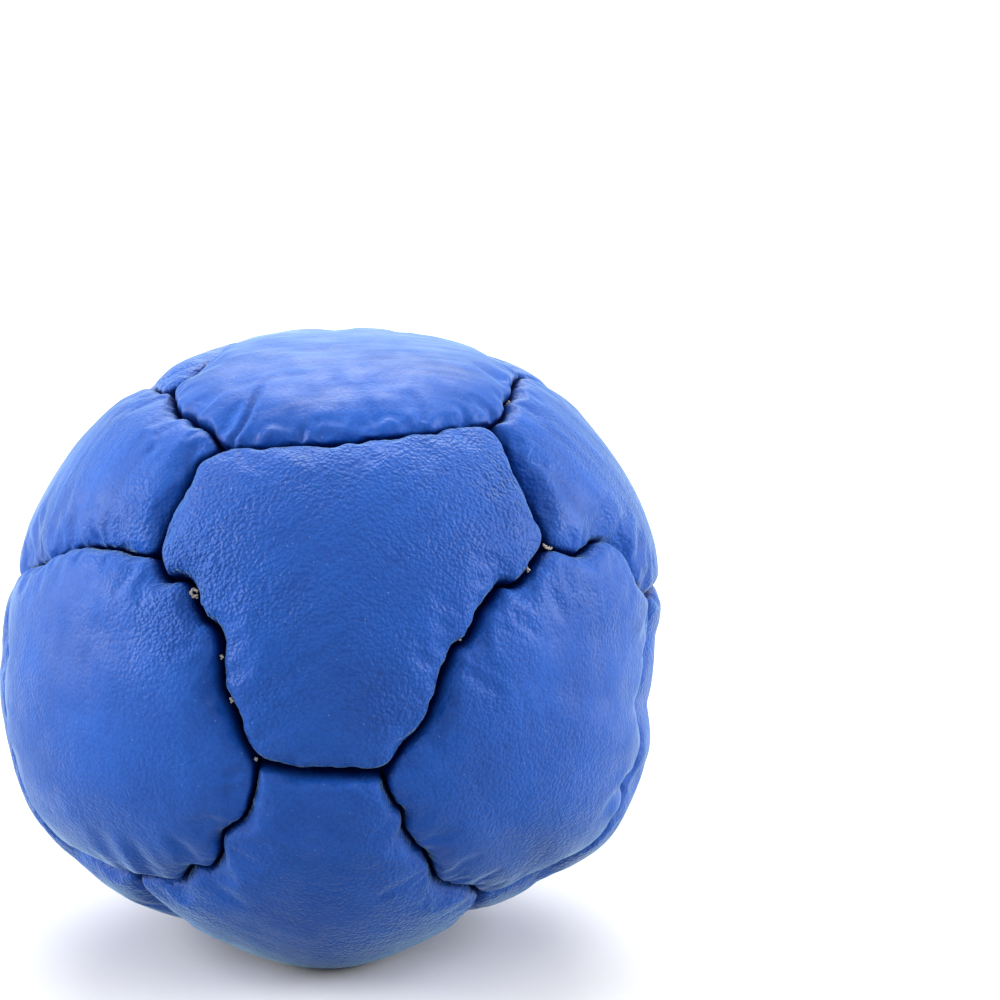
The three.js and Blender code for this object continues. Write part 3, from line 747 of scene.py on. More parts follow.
# The filling presses the panels out between their seams, as cloth under pressure.
def swell(sheets):
    starts = np.cumsum([0] + [len(sheet["points"]) for sheet in sheets])
    points = np.vstack([sheet["points"] for sheet in sheets]) * swelling["scale"]
    faces = [tuple(corner + int(start) for corner in face)
             for sheet, start in zip(sheets, starts) for face in sheet["solidFaces"]]
    skin = addMesh("swelling_skin", points, faces)
    pins = skin.vertex_groups.new(name="pins")
    pinned = np.concatenate([sheet["pinned"] for sheet in sheets])
    pins.add([int(index) for index in np.flatnonzero(pinned)], 1.0, "ADD")
    cloth = skin.modifiers.new("cloth", "CLOTH")
    settings = cloth.settings
    settings.quality = swelling["quality"]
    settings.mass = swelling["mass"]
    settings.tension_stiffness = swelling["stiffness"]
    settings.compression_stiffness = swelling["stiffness"]
    settings.shear_stiffness = swelling["stiffness"] / 2
    settings.bending_stiffness = swelling["bending"]
    settings.tension_damping = swelling["damping"]
    settings.compression_damping = swelling["damping"]
    settings.shear_damping = swelling["damping"]
    settings.air_damping = swelling["airDamping"]
    settings.use_pressure = True
    settings.uniform_pressure_force = swelling["pressure"]
    settings.shrink_min = -swelling["growth"]
    settings.vertex_group_mass = "pins"
    settings.pin_stiffness = 1.0
    settings.effector_weights.gravity = 0.0
    cloth.collision_settings.use_collision = False
    cloth.point_cache.frame_end = swelling["frames"]
    for step in range(1, swelling["frames"] + 1):
        bpy.context.scene.frame_set(step)
    applyModifier(skin, cloth)
    moved = pointsOf(skin) / swelling["scale"]
    bpy.data.objects.remove(skin)
    bpy.context.scene.frame_set(1)
    for sheet, start in zip(sheets, starts):
        now = moved[start:start + len(sheet["points"])]
        shift = now - sheet["points"]
        size = np.linalg.norm(shift, axis=1)
        cap = np.minimum(1, swelling["most"] / np.maximum(size, 1e-9))
        sheet["moved"] = (size.mean(), size.max())
        sheet["points"] = heldInside(sheet, sheet["points"] + shift * cap[:, None])


# No point of the face crosses the sewn line, or sinks below the base.
def heldInside(sheet, points):
    count = sheet["faceCount"]
    outwards = points[:count] - bagMiddle
    radius = np.linalg.norm(outwards, axis=1)
    flat = sheet["chart"].flat(outwards / radius[:, None])
    loop = sheet["loop"]
    crossed = ~insideLoop(flat, loop) & (distanceToLine(flat, loop, closed=True) > 1e-3)
    crossed[sheet["rim"]] = False
    for index in np.flatnonzero(crossed):
        flat[index] = loop[np.argmin(((loop - flat[index]) ** 2).sum(axis=1))]
    held = points.copy()
    held[:count] = bagMiddle + sheet["chart"].round(flat) * radius[:, None]
    held[:, 2] = np.maximum(held[:, 2], leather["lowest"])
    return held


swell(sheets)
most = max(sheet["moved"][1] for sheet in sheets)
mean = sum(sheet["moved"][0] for sheet in sheets) / len(sheets)
print("panels swollen, moved up to", round(most, 2), "mm, on average", round(mean, 3), "mm")


leatherLook = {
    "deep": (0.0045, 0.0640, 0.3400),
    "plain": (0.0070, 0.0900, 0.4500),
    # painted shade: the colour and the reflection tint in the seams, the dark folds and the underside
    "groove": (0.0008, 0.0080, 0.0800),
    "paintedShadeGlint": (0.02, 0.06, 0.2),
    "speck": (0.34, 0.50, 0.74),
    "lineTint": (0.45, 0.55, 0.7, 1),
    "lineRange": (0.45, 0.8),    # from the middle of a pebble
    "lineShare": 0.35,
    "patchesPerMetre": 140,
    "mottlesPerMetre": 4200,
    "mottleShare": 0.45,
    "toneShare": 3.0,            # how far a streak shifts the dye
    "toneRange": (0.34, 0.66),
    "warpsPerMetre": 900,
    "warpSize": 0.0006,
    "pebblesPerMetre": 3200,
    "pebbleSmoothness": 0.45,
    "pebbleHeight": 0.00025,
    "specksPerMetre": 900,
    "speckReach": (0.04, 0.075),
    "speckShare": 0.25,
    "wavesPerMetre": 420,
    "waveStrength": 0.16,
    "waveHeight": 0.0003,
    "poresPerMetre": 2600,
    "poreHeight": 0.00016,
    "grainPatchesPerMetre": 95,
    "grainPatchRange": (0.38, 0.62),
    "grainRange": (0.6, 1.3),
    "roughWaveRange": (0.35, 0.65),
    "roughness": (0.41, 0.57),
    "specular": 0.25,
    "sheen": 0.5,
    "sheenRoughness": 0.32,
    "sheenTint": (0.6, 0.93, 1.0, 1),
}


# Makes the nodes of a material or a world. An input may be given another node's output.
class NodeTree:
    def __init__(self, owner):
        owner.use_nodes = True
        self.nodes = owner.node_tree.nodes
        self.links = owner.node_tree.links
        self.nodes.clear()

    def add(self, kind, inputs=None, **settings):
        node = self.nodes.new("ShaderNode" + kind)
        for name, value in settings.items():
            setattr(node, name, value)
        for name, value in (inputs or {}).items():
            if isinstance(value, bpy.types.NodeSocket):
                self.links.new(value, node.inputs[name])
            else:
                node.inputs[name].default_value = value
        return node

    def objectPlace(self):
        return self.add("TexCoord").outputs["Object"]

    def attribute(self, name):
        return self.add("Attribute", attribute_name=name).outputs["Fac"]

    def noise(self, place, scale, detail):
        return self.add("TexNoise", {"Vector": place, "Scale": scale, "Detail": detail}).outputs["Fac"]

    def spread(self, value, start, end, low, high):
        limits = {"From Min": start, "From Max": end, "To Min": low, "To Max": high}
        return self.add("MapRange", {"Value": value, **limits}).outputs["Result"]

    def ramp(self, share, first, last, start=0.0, end=1.0):
        node = self.add("ValToRGB", {"Fac": share})
        low, high = node.color_ramp.elements
        low.position = start
        low.color = (*first, 1)
        high.position = end
        high.color = (*last, 1)
        return node.outputs["Color"]

    def blended(self, share, first, second, way="MIX"):
        inputs = {"Factor": share, "A": first, "B": second}
        return self.add("Mix", inputs, data_type="RGBA", blend_type=way).outputs["Result"]

    def scaledSum(self, value, times, more):
        return self.add("Math", {0: value, 1: times, 2: more}, operation="MULTIPLY_ADD").outputs[0]


# The leather's sheen shines at a low angle. A copy without sheen keeps the painted shade in the seams dark.
def blueLeather(name, sheen):
    look = leatherLook
    material = bpy.data.materials.new(name)
    tree = NodeTree(material)
    place = tree.objectPlace()
    groove = tree.attribute("groove")

    # The dye lies a little deeper in some patches, and along the streaks.
    patches = tree.noise(place, look["patchesPerMetre"], 3)
    mottle = tree.noise(place, look["mottlesPerMetre"], 2)
    inputs = {"Factor": look["mottleShare"], "A": patches, "B": mottle}
    both = tree.add("Mix", inputs).outputs["Result"]
    toned = tree.scaledSum(tree.attribute("tone"), look["toneShare"], both)
    tones = tree.ramp(toned, look["deep"], look["plain"], *look["toneRange"])

    # Pebbled grain, with darker lines between the pebbles
    warp = tree.add("TexNoise", {"Vector": place, "Scale": look["warpsPerMetre"]}).outputs["Color"]
    warpSize = (look["warpSize"],) * 3
    bent = tree.add("VectorMath", {0: warp, 1: warpSize, 2: place}, operation="MULTIPLY_ADD").outputs[0]
    cells = {"Vector": bent, "Scale": look["pebblesPerMetre"], "Smoothness": look["pebbleSmoothness"]}
    pebbles = tree.add("TexVoronoi", cells, feature="SMOOTH_F1").outputs["Distance"]
    lines = tree.spread(pebbles, *look["lineRange"], 0.0, look["lineShare"])
    lined = tree.blended(lines, tones, look["lineTint"], "MULTIPLY")

    # Pale specks of dust and bare grain
    dust = tree.add("TexVoronoi", {"Vector": place, "Scale": look["specksPerMetre"]}).outputs["Distance"]
    speck = tree.spread(dust, *look["speckReach"], look["speckShare"], 0.0)
    specked = tree.blended(speck, lined, (*look["speck"], 1))

    # Painted shade: the colour goes dark, and the reflections are tinted dark, down in the seams, on the
    # inside faces, at the bottoms of the dark folds and on the underside.
    colour = tree.blended(groove, specked, (*look["groove"], 1))
    glint = tree.ramp(groove, (1, 1, 1), look["paintedShadeGlint"])

    # Bumps: soft waves, then the pebbles and fine pores, as strong as the grain is there
    soft = tree.noise(place, look["wavesPerMetre"], 2)
    pores = tree.noise(place, look["poresPerMetre"], 3)
    waves = {"Strength": look["waveStrength"], "Distance": look["waveHeight"], "Height": soft}
    softBump = tree.add("Bump", waves).outputs["Normal"]
    uneven = tree.noise(place, look["grainPatchesPerMetre"], 1)
    depth = tree.spread(uneven, *look["grainPatchRange"], *look["grainRange"])
    strength = tree.add("Math", {0: depth, 1: tree.attribute("grain")}, operation="MULTIPLY", use_clamp=True)
    raised = {"Strength": strength.outputs[0], "Distance": look["pebbleHeight"], "Height": pebbles,
              "Normal": softBump}
    pebbleBump = tree.add("Bump", raised, invert=True).outputs["Normal"]
    pitted = {"Strength": strength.outputs[0], "Distance": look["poreHeight"], "Height": pores,
              "Normal": pebbleBump}
    normal = tree.add("Bump", pitted).outputs["Normal"]

    shader = tree.add("BsdfPrincipled", {
        "Base Color": colour,
        "Specular Tint": glint,
        "Normal": normal,
        "Roughness": tree.spread(soft, *look["roughWaveRange"], *look["roughness"]),
        "Specular IOR Level": look["specular"],
        "Sheen Weight": sheen,
        "Sheen Roughness": look["sheenRoughness"],
        "Sheen Tint": look["sheenTint"],
    })
    tree.add("OutputMaterial", {"Surface": shader.outputs["BSDF"]})
    return material


leatherFinish = blueLeather("blue_leather", leatherLook["sheen"])
# A copy without sheen, for the painted shade in the seams
sheenlessShadeFinish = blueLeather("sheenless_shaded_leather", 0.0)


# How strong the pebbled grain is on each panel, and where it is stronger: pixel, reach in pixels and strength
grain = {
    "plain": 0.34,
    "panels": {
        "top_square_panel": 0.09,
        "front_upper_hexagon_panel": 0.5,
        "front_lower_hexagon_panel": 0.36,
        "left_upper_hexagon_panel": 0.16,
        "right_upper_hexagon_panel": 0.29,
        "front_left_square_panel": 0.18,
        "front_right_square_panel": 0.24,
    },
    "spots": [
        ((512, 500), 62, 0.6),
        ((470, 560), 60, 0.2),
        ((205, 535), 40, 0.22),
        ((215, 480), 40, 0.15),
        ((190, 615), 42, 0.9),
        ((140, 520), 44, 0.26),
        ((620, 510), 46, 0.22),
        ((225, 430), 26, 0.22),
    ],
}

# Soft streaks along a panel: two pixels that give their way, and how high they are
streaks = {
    "top_square_panel": ((250, 372), (450, 366), 0.05),
    "left_upper_hexagon_panel": ((80, 480), (150, 400), 0.05),
    "right_upper_hexagon_panel": ((560, 430), (628, 510), 0.06),
    "front_left_square_panel": ((80, 600), (66, 760), 0.02),
    "front_right_square_panel": ((560, 600), (600, 740), 0.02),
    "front_lower_hexagon_panel": ((300, 800), (420, 830), 0.03),
}
streakShape = {
    "plainHeight": 0.03,  # on a panel that the photograph doesn't show
    "length": 9.0,
    "width": 1.1,
    "detail": 0.5,        # the part of the height that is added in finer streaks
    "shorter": 1.7,       # and how many times shorter and narrower they are
    "narrower": 2.3,
}

# Folds that the photograph shows on each panel: pixels along each one, how deep it is and how wide.
# A negative depth is a ridge. A fold that starts at a seam is full there, and painted shade darkens its
# bottom.
folds = {
    "top_square_panel": [
        {"line": [(230, 452), (233, 438), (240, 431), (249, 417), (260, 392), (270, 376)],
         "depth": 0.3, "width": 0.34, "atSeam": True, "ink": 0.5},
        {"line": [(206, 438), (216, 414), (236, 384)], "depth": -0.14, "width": 1.3, "atSeam": True},
        {"line": [(262, 438), (272, 433), (286, 439)], "depth": -0.2, "width": 0.45},
        {"line": [(308, 434), (326, 428), (344, 432)], "depth": -0.16, "width": 0.5},
        {"line": [(372, 430), (388, 425), (402, 429)], "depth": -0.16, "width": 0.45},
        {"line": [(299, 447), (301, 436), (307, 424)], "depth": 0.2, "width": 0.45, "atSeam": True},
        {"line": [(354, 442), (357, 430), (364, 418)], "depth": 0.16, "width": 0.45, "atSeam": True},
        {"line": [(414, 435), (418, 424), (426, 412)], "depth": 0.18, "width": 0.45, "atSeam": True},
        {"line": [(464, 430), (464, 419), (460, 408)], "depth": 0.3, "width": 0.4, "atSeam": True},
        {"line": [(496, 428), (492, 418), (489, 408)], "depth": 0.26, "width": 0.4, "atSeam": True},
        {"line": [(280, 400), (330, 390), (400, 388), (460, 398)], "depth": 0.1, "width": 1.6},
        {"line": [(230, 352), (300, 345), (380, 350)], "depth": 0.1, "width": 1.2},
    ],
    "left_upper_hexagon_panel": [
        {"line": [(88, 547), (89, 536), (86, 526)], "depth": 0.4, "width": 0.5, "atSeam": True},
        {"line": [(165, 444), (155, 455), (146, 464)], "depth": 0.16, "width": 0.45},
        {"line": [(216, 453), (200, 458), (186, 468)], "depth": -0.45, "width": 0.7, "atSeam": True},
    ],
    "right_upper_hexagon_panel": [
        {"line": [(534, 466), (545, 487), (552, 510)], "depth": -0.22, "width": 0.7},
        {"line": [(589, 545), (586, 536), (588, 526)], "depth": 0.3, "width": 0.5, "atSeam": True},
        {"line": [(618, 556), (622, 530), (616, 500)], "depth": 0.3, "width": 0.9, "atSeam": True},
        {"line": [(636, 585), (638, 555), (632, 520)], "depth": 0.22, "width": 0.7, "atSeam": True},
    ],
    "front_right_square_panel": [
        {"line": [(392, 762), (410, 766), (432, 762)], "depth": 0.18, "width": 0.6, "atSeam": True},
        {"line": [(410, 744), (426, 742), (446, 730)], "depth": 0.16, "width": 0.6, "atSeam": True},
        {"line": [(640, 770), (622, 778), (598, 800), (586, 818)],
         "depth": 0.45, "width": 0.9, "atSeam": True},
        {"line": [(512, 620), (545, 616), (580, 604), (604, 596)], "depth": 0.24, "width": 1.9},
    ],
    "front_left_square_panel": [
        {"line": [(76, 626), (112, 630), (150, 630), (176, 626)], "depth": 0.16, "width": 1.9},
        {"line": [(150, 872), (140, 850), (128, 826)], "depth": 0.2, "width": 0.8, "atSeam": True},
        {"line": [(196, 864), (180, 842), (168, 822)], "depth": 0.2, "width": 0.8, "atSeam": True},
        {"line": [(120, 860), (108, 838), (100, 815)], "depth": 0.16, "width": 0.9, "atSeam": True},
        {"line": [(246, 768), (234, 774), (222, 786)], "depth": 0.16, "width": 0.45, "atSeam": True},
        {"line": [(243, 786), (232, 790), (222, 800)], "depth": 0.14, "width": 0.45, "atSeam": True},
    ],
    "front_lower_hexagon_panel": [
        {"line": [(372, 893), (388, 884), (402, 877)], "depth": 0.14, "width": 0.5},
        {"line": [(296, 786), (320, 780), (352, 784), (380, 800)], "depth": -0.2, "width": 0.8},
        {"line": [(292, 766), (301, 778), (310, 790)], "depth": -0.2, "width": 0.3, "atSeam": True},
        {"line": [(316, 768), (306, 777), (300, 786)], "depth": 0.25, "width": 0.35, "atSeam": True},
        {"line": [(176, 884), (190, 878), (214, 880)], "depth": 0.24, "width": 0.6, "atSeam": True},
    ],
}

# Small gathers that the stitches pull into the leather beside a seam
gathers = {
    "spacing": (1.3, 3.4),
    "length": (0.9, 2.8),
    "width": (0.32, 0.65),
    "depth": (0.04, 0.15),
    "first": (0.3, 1.5),     # from a corner
    "cornerClear": 0.3,
    "slant": 0.35,
    "opening": 0.5,          # how much wider one gets over its length
    "reach": 6.0,
    "fineSeam": 8,           # a seam with more points than this is taken by every second one
}
gatherShares = {
    "front_upper_hexagon_panel": 0.3,
    "front_left_square_panel": 0.6,
    "front_right_square_panel": 0.4,
    "front_lower_hexagon_panel": 0.5,
    "left_upper_hexagon_panel": 0.3,
    "right_upper_hexagon_panel": 0.7,
    "top_square_panel": 0.6,
}


# How far points lie from a line, on which side of it, and how far along it they are.
def besideLine(points, line):
    stretches = line[1:] - line[:-1]
    lengths = np.linalg.norm(stretches, axis=1)
    along = np.concatenate(((0,), np.cumsum(lengths)))
    apart = points[:, None, :] - line[None, :-1]
    shares = np.clip((apart * stretches).sum(axis=2) / lengths**2, 0, 1)
    offsets = apart - shares[..., None] * stretches
    sizes = np.linalg.norm(offsets, axis=2)
    nearest = sizes.argmin(axis=1)
    rows = np.arange(len(points))
    place = along[nearest] + shares[rows, nearest] * lengths[nearest]
    return sizes[rows, nearest], place, along[-1]


foldShape = {
    "start": 0.35,      # of its length, over which a fold away from a seam begins
    "end": 0.5,         # and over which any fold ends
    "lip": 0.35,        # of its depth: the height of the soft lips beside it
    "lipAway": 1.9,     # widths from its middle
    "reach": 4,         # widths
    "lineSteps": 6,     # from one pixel of a line to the next
    "inkWidth": 0.2,
    "inkFade": 1.25,
}


# Each fold of a panel, with how far the points lie from its line and their share of the way along it.
def foldsOn(sheet, flat):
    for fold in folds.get(sheet["name"], []):
        pixels = curveThrough([(x, y, 0.0) for x, y in fold["line"]], foldShape["lineSteps"])
        line = sheet["chart"].flat(np.array([seenAt(pixel[:2], view["faceLevelShare"]) for pixel in pixels]))
        away, place, total = besideLine(flat, line)
        yield fold, away, place / total


def foldHeights(sheet, flat):
    heights = np.zeros(len(flat))
    for fold, away, share in foldsOn(sheet, flat):
        start = np.ones_like(share) if fold.get("atSeam") else np.minimum(1, share / foldShape["start"])
        taper = start * np.minimum(1, (1 - share) / foldShape["end"])
        taper = taper * taper * (3 - 2 * taper)
        width = fold["width"]
        lip = foldShape["lip"] * np.exp(-((away - foldShape["lipAway"] * width) / width) ** 2)
        crease = np.exp(-(away / width) ** 2) - lip
        beyond = np.exp(-(away / (foldShape["reach"] * width)) ** 4)
        heights -= fold["depth"] * crease * taper * beyond
    return heights


# Painted shade, up to 1, on the bottom of the folds that are dark
def foldShade(sheet, flat):
    ink = np.zeros(len(flat))
    for fold, away, share in foldsOn(sheet, flat):
        fade = np.clip(foldShape["inkFade"] * (1 - share), 0, 1)
        ink = np.maximum(ink, fold.get("ink", 0) * fade * np.exp(-(away / foldShape["inkWidth"]) ** 2))
    return ink


# Long soft streaks, from -1 to 1
def streakHeights(sheet, flat):
    if sheet["name"] in streaks:
        start, end, height = streaks[sheet["name"]]
        ends = np.array([seenAt(pixel, view["faceLevelShare"]) for pixel in (start, end)])
        first, last = sheet["chart"].flat(ends)
        along = unit(last - first)
    else:
        height = streakShape["plainHeight"]
        along = unit(sheet["loop"][len(sheet["loop"]) // 3] - sheet["loop"][0])
    across = np.array((-along[1], along[0]))
    shorter, narrower = streakShape["shorter"], streakShape["narrower"]
    return height * np.array([
        noise.noise(Vector((u, v, 3.7)))
        + streakShape["detail"] * noise.noise(Vector((u * shorter, v * narrower, 8.1)))
        for u, v in zip(flat @ along / streakShape["length"], flat @ across / streakShape["width"])])


def grainAt(sheet, ways):
    strength = np.full(len(ways), grain["panels"].get(sheet["name"], grain["plain"]))
    for pixel, reach, more in grain["spots"]:
        apart = np.linalg.norm(ways - seenAt(pixel, view["faceLevelShare"]), axis=1)
        near = apart * bag["longRadius"] * pixelsPerMm
        strength += more * np.exp(-(near / reach) ** 2)
    return strength


def gatherHeights(sheet, flat, random):
    heights = np.zeros(len(flat))
    for seam in sheet["seams"]:
        away, place, total = besideLine(flat, seam[::2] if len(seam) > gathers["fineSeam"] else seam)
        near = np.flatnonzero(away < gathers["reach"])
        at = random.uniform(*gathers["first"])
        while at < total - gathers["cornerClear"]:
            length = random.uniform(*gathers["length"])
            width = random.uniform(*gathers["width"])
            depth = random.uniform(*gathers["depth"]) * gatherShares.get(sheet["name"], 1)
            slant = random.uniform(-gathers["slant"], gathers["slant"])
            beside = place[near] - at - slant * away[near]
            spread = width * (1 + gathers["opening"] * away[near] / length)
            heights[near] -= depth * np.exp(-(beside / spread) ** 2) * np.exp(-(away[near] / length) ** 2)
            at += random.uniform(*gathers["spacing"])
    return heights


finish = {
    "firstSeed": 11,        # of the gathers, one more for each panel
    "reliefEnd": 0.6,       # below the sewn line, where folds and gathers have faded out
    "reliefFade": 0.8,
    "paintedShadeStart": 1.2,       # how dark the painted shade is at a panel's very edge, where 1 is all dark
    "soil": 0.85,           # how dark the underside is painted with contact shade, and how high that painted shade reaches
    "contactShadeHeight": 1.8,
    "squeezed": 0.45,       # where the painted shade is darker than this, the face takes the copy without sheen, so the shade stays dark
}


# A value at each point of a piece, for its material to read
def setAttribute(piece, name, values):
    piece.data.attributes.new(name, "FLOAT", "POINT").data.foreach_set("value", values)


# The panel as a leather sheet of its own thickness, with a fine skin that folds and gathers.
def finishPanel(sheet, order):
    name = "leather_" + sheet["name"].replace("_panel", "")
    piece = addMesh(name, sheet["points"] * mm, sheet["solidFaces"])
    fine = piece.modifiers.new("fine", "SUBSURF")
    fine.levels = 1
    fine.render_levels = 1
    applyModifier(piece, fine)
    outer = pointsOf(piece) / mm
    wall = piece.modifiers.new("wall", "SOLIDIFY")
    wall.thickness = leather["thickness"] * mm
    wall.offset = -1
    applyModifier(piece, wall)
    outwards = outer - bagMiddle
    radius = np.linalg.norm(outwards, axis=1)
    ways = outwards / radius[:, None]
    flat = sheet["chart"].flat(ways)
    depthBelow = bodyRadius(ways) - radius
    random = np.random.default_rng(order + finish["firstSeed"])
    streaked = streakHeights(sheet, flat)
    relief = foldHeights(sheet, flat) + gatherHeights(sheet, flat, random) + streaked
    toReliefEnd = leather["valleyDepth"] + finish["reliefEnd"] - depthBelow
    relief *= np.clip(toReliefEnd / finish["reliefFade"], 0, 1)
    points = pointsOf(piece)
    shaped = outer + ways * relief[:, None]
    shaped[:, 2] = np.maximum(shaped[:, 2], np.minimum(outer[:, 2], leather["lowest"]))
    points[:len(outer)] = shaped * mm
    setPoints(piece, points)
    toEdge = distanceToLine(flat, sheet["loop"], closed=True)
    reach = leather["paintedShadeReach"] * np.minimum(1, styleOf(seamShares(ways), "gap", 1))
    # Painted shade, from 0 to 1: all of the inside faces, each panel's edge down at the seam, the bottoms of
    # the dark folds and the underside near the base
    dark = np.ones(len(points), np.float32)
    dark[:len(outer)] = np.clip(finish["paintedShadeStart"] - toEdge / reach, 0, 1)
    # painted contact shade, darkest at the base
    contactShaded = finish["soil"] * np.clip(1 - outer[:, 2] / finish["contactShadeHeight"], 0, 1)
    dark[:len(outer)] = np.maximum(dark[:len(outer)], np.maximum(foldShade(sheet, flat), contactShaded))
    rough = np.full(len(points), grain["plain"], np.float32)
    rough[:len(outer)] = grainAt(sheet, ways)
    tone = np.zeros(len(points), np.float32)
    tone[:len(outer)] = streaked
    setAttribute(piece, "groove", dark)
    setAttribute(piece, "grain", rough)
    setAttribute(piece, "tone", tone)
    piece.data.shade_smooth()
    piece.data.materials.append(leatherFinish)
    piece.data.materials.append(sheenlessShadeFinish)
    # Faces deep in the painted shade take the copy without sheen.
    squeezed = [min(dark[corner] for corner in face.vertices) > finish["squeezed"]
                for face in piece.data.polygons]
    piece.data.polygons.foreach_set("material_index", np.array(squeezed, np.int32))
    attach(piece, "root")
    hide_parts(sheet["name"])
    return piece


panels = [finishPanel(sheet, order) for order, sheet in enumerate(sheets)]
print("panels finished,", sum(len(piece.data.polygons) for piece in panels), "faces")


thread = {
    "depth": 1.3,            # the stitches lie this far below the sewn line
    "side": 1.65,            # from the sewn line to the thread's run along it
    "strandRadius": 0.17,
    "strands": 3,
    "packing": 0.95,         # from a strand's middle to the thread's, as a share of the strand's radius
    "twistPerMm": 0.75,      # turns
    "step": 0.22,
    "pathSteps": 30,         # from one stop to the next, before they are spaced evenly
    "longSteps": 4,          # stitches along a long seam
    "shortSteps": 2,
    "crossing": 0.08,        # of a stitch, to each side of its middle, where the thread crosses the seam
    "lowest": 0.6,           # above the base
    "tailShare": 0.27,       # of a stitch, left out at each end of a short seam
    "endGap": 1.2,           # between the two ends of the thread round a square
    "stitchLength": 3.6,     # about, on a long seam
    "fibresPerMetre": 5000,
    "fibreHeight": 0.00008,  # metres
    "fibreStrength": 0.5,
    "roughness": 0.62,
}


def threadFinish(name, dark, pale):
    material = bpy.data.materials.new(name)
    tree = NodeTree(material)
    fibres = tree.noise(tree.objectPlace(), thread["fibresPerMetre"], 3)
    bump = tree.add("Bump", {
        "Strength": thread["fibreStrength"], "Distance": thread["fibreHeight"], "Height": fibres})
    shader = tree.add("BsdfPrincipled", {
        "Base Color": tree.ramp(fibres, dark, pale),
        "Normal": bump.outputs["Normal"],
        "Roughness": thread["roughness"],
    })
    tree.add("OutputMaterial", {"Surface": shader.outputs["BSDF"]})
    return material


# The stitching thread is dark navy, darker than its pale loose ends: painted shade where it shows in the seam
# openings.
waxedThread = threadFinish("waxed_thread", (0.02, 0.05, 0.11), (0.08, 0.12, 0.18))


# The stitches' places along a seam, as points below it, from side to side.
def stitchStops(line, count, firstSide, start=0.0, end=None):
    end = count if end is None else end

    def at(place, side):
        index = place / count * (len(line) - 1)
        low = int(min(index, len(line) - 2))
        here = unit(line[low] + (line[low + 1] - line[low]) * (index - low))
        across = unit(np.cross(here, line[low + 1] - line[low]))
        radius = bodyRadius(here) - leather["valleyDepth"] - thread["depth"]
        point = bagMiddle + here * radius + across * side * thread["side"]
        point[2] = max(point[2], thread["lowest"])
        return point

    side = firstSide
    stops = [at(start, side)] if start > 0 else []
    for place in range(count):
        if start < place + 0.5 < end:
            stops.append(at(place + 0.5 - thread["crossing"], side))
            stops.append(at(place + 0.5 + thread["crossing"], -side))
            side = -side
        if place + 1 < min(end, count):
            stops.append(at(place + 1, side))
    if end < count:
        stops.append(at(end, side))
    return stops, side


def strandCurve(name, radius):
    curve = bpy.data.curves.new(name, "CURVE")
    curve.dimensions = "3D"
    curve.bevel_depth = radius * mm
    curve.bevel_resolution = 1
    curve.use_fill_caps = True
    return curve


# Strands that wind round a path. reach is how far the middle of each lies from it.
def windStrands(curve, path, strands, turnsPerPoint, reach):
    along = unit(np.gradient(path, axis=0))
    outwards = unit(path - bagMiddle)
    sideways = unit(np.cross(along, outwards))
    upwards = np.cross(sideways, along)
    turns = np.arange(len(path)) * turnsPerPoint * 2 * np.pi
    for strand in range(strands):
        angle = turns + strand * 2 * np.pi / strands
        points = path + (sideways * np.cos(angle)[:, None] + upwards * np.sin(angle)[:, None]) * reach
        spline = curve.splines.new("POLY")
        spline.points.add(len(points) - 1)
        for knot, point in zip(spline.points, points * mm):
            knot.co = (*point, 1)


def threadPiece(curve, material):
    piece = bpy.data.objects.new(curve.name, curve)
    bpy.context.scene.collection.objects.link(piece)
    deselectAll()
    bpy.context.view_layer.objects.active = piece
    piece.select_set(True)
    bpy.ops.object.convert(target="MESH")
    piece = bpy.context.active_object
    piece.data.shade_smooth()
    piece.data.materials.append(material)
    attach(piece, "root")
    return piece


def addThread(name, stops):
    path = evenlySpaced(curveThrough(stops, thread["pathSteps"]), thread["step"])
    curve = strandCurve(name, thread["strandRadius"])
    turnsPerPoint = thread["step"] * thread["twistPerMm"]
    windStrands(curve, path, thread["strands"], turnsPerPoint, thread["strandRadius"] * thread["packing"])
    return threadPiece(curve, waxedThread)


# The thread round a square starts and ends half way along its first seam.
def squareThread(square):
    corners = panelCorners[spaced(square) + "_square_panel"]
    lines = [seamLine(corner, after) for corner, after in zip(corners, corners[1:] + corners[:1])]
    count = thread["longSteps"]
    half = count / 2
    gap = thread["endGap"] / 2 / thread["stitchLength"]
    stops = []
    side = 1
    more, side = stitchStops(lines[0], count, side, start=half + gap)
    stops += more
    for line in lines[1:]:
        more, side = stitchStops(line, count, side)
        stops += more
    more, side = stitchStops(lines[0], count, side, end=half - gap)
    stops += more
    piece = addThread("twisted_thread_round_" + spaced(square), stops)
    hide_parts("thread_round_" + spaced(square) + "_square")


def hexagonThread(name, one, two):
    line = seamLine((one, two), (two, one))
    count = thread["shortSteps"]
    stops, side = stitchStops(line, count, 1, start=thread["tailShare"], end=count - thread["tailShare"])
    piece = addThread("twisted_" + name, stops)
    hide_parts(name)


# Bits of thread that stick out of the seams in the photograph: pixels along each one
looseEnds = [
    [(437, 431), (443, 427), (449, 426)],
    [(441, 427), (446, 430), (450, 430)],
    [(463, 420), (466, 425), (470, 427)],
    [(464, 413), (464, 418)],
    [(499, 427), (503, 423)],
    [(503, 411), (505, 408)],
    [(502, 446), (504, 450)],
    [(540, 546), (544, 549), (549, 549)],
    [(524, 569), (527, 572)],
    [(455, 634), (459, 640)],
    [(199, 592), (195, 590), (193, 593), (195, 597), (199, 597)],
    [(222, 655), (224, 658)],
    [(232, 697), (234, 701)],
    [(256, 757), (258, 758)],
]
looseThread = {
    "radius": 0.085,
    "above": 0.32,           # the sewn line
    "wave": 0.1,             # up and down along it
    "waveTurn": 2.1,
    "step": 0.1,
    "pathSteps": 12,
    "strands": 2,
    "twistPerMm": 1.3,
    "spread": 0.8,           # from a strand's middle to the thread's at its start, as a share of the radius
    "fray": 0.5,             # and how much more at its end
}


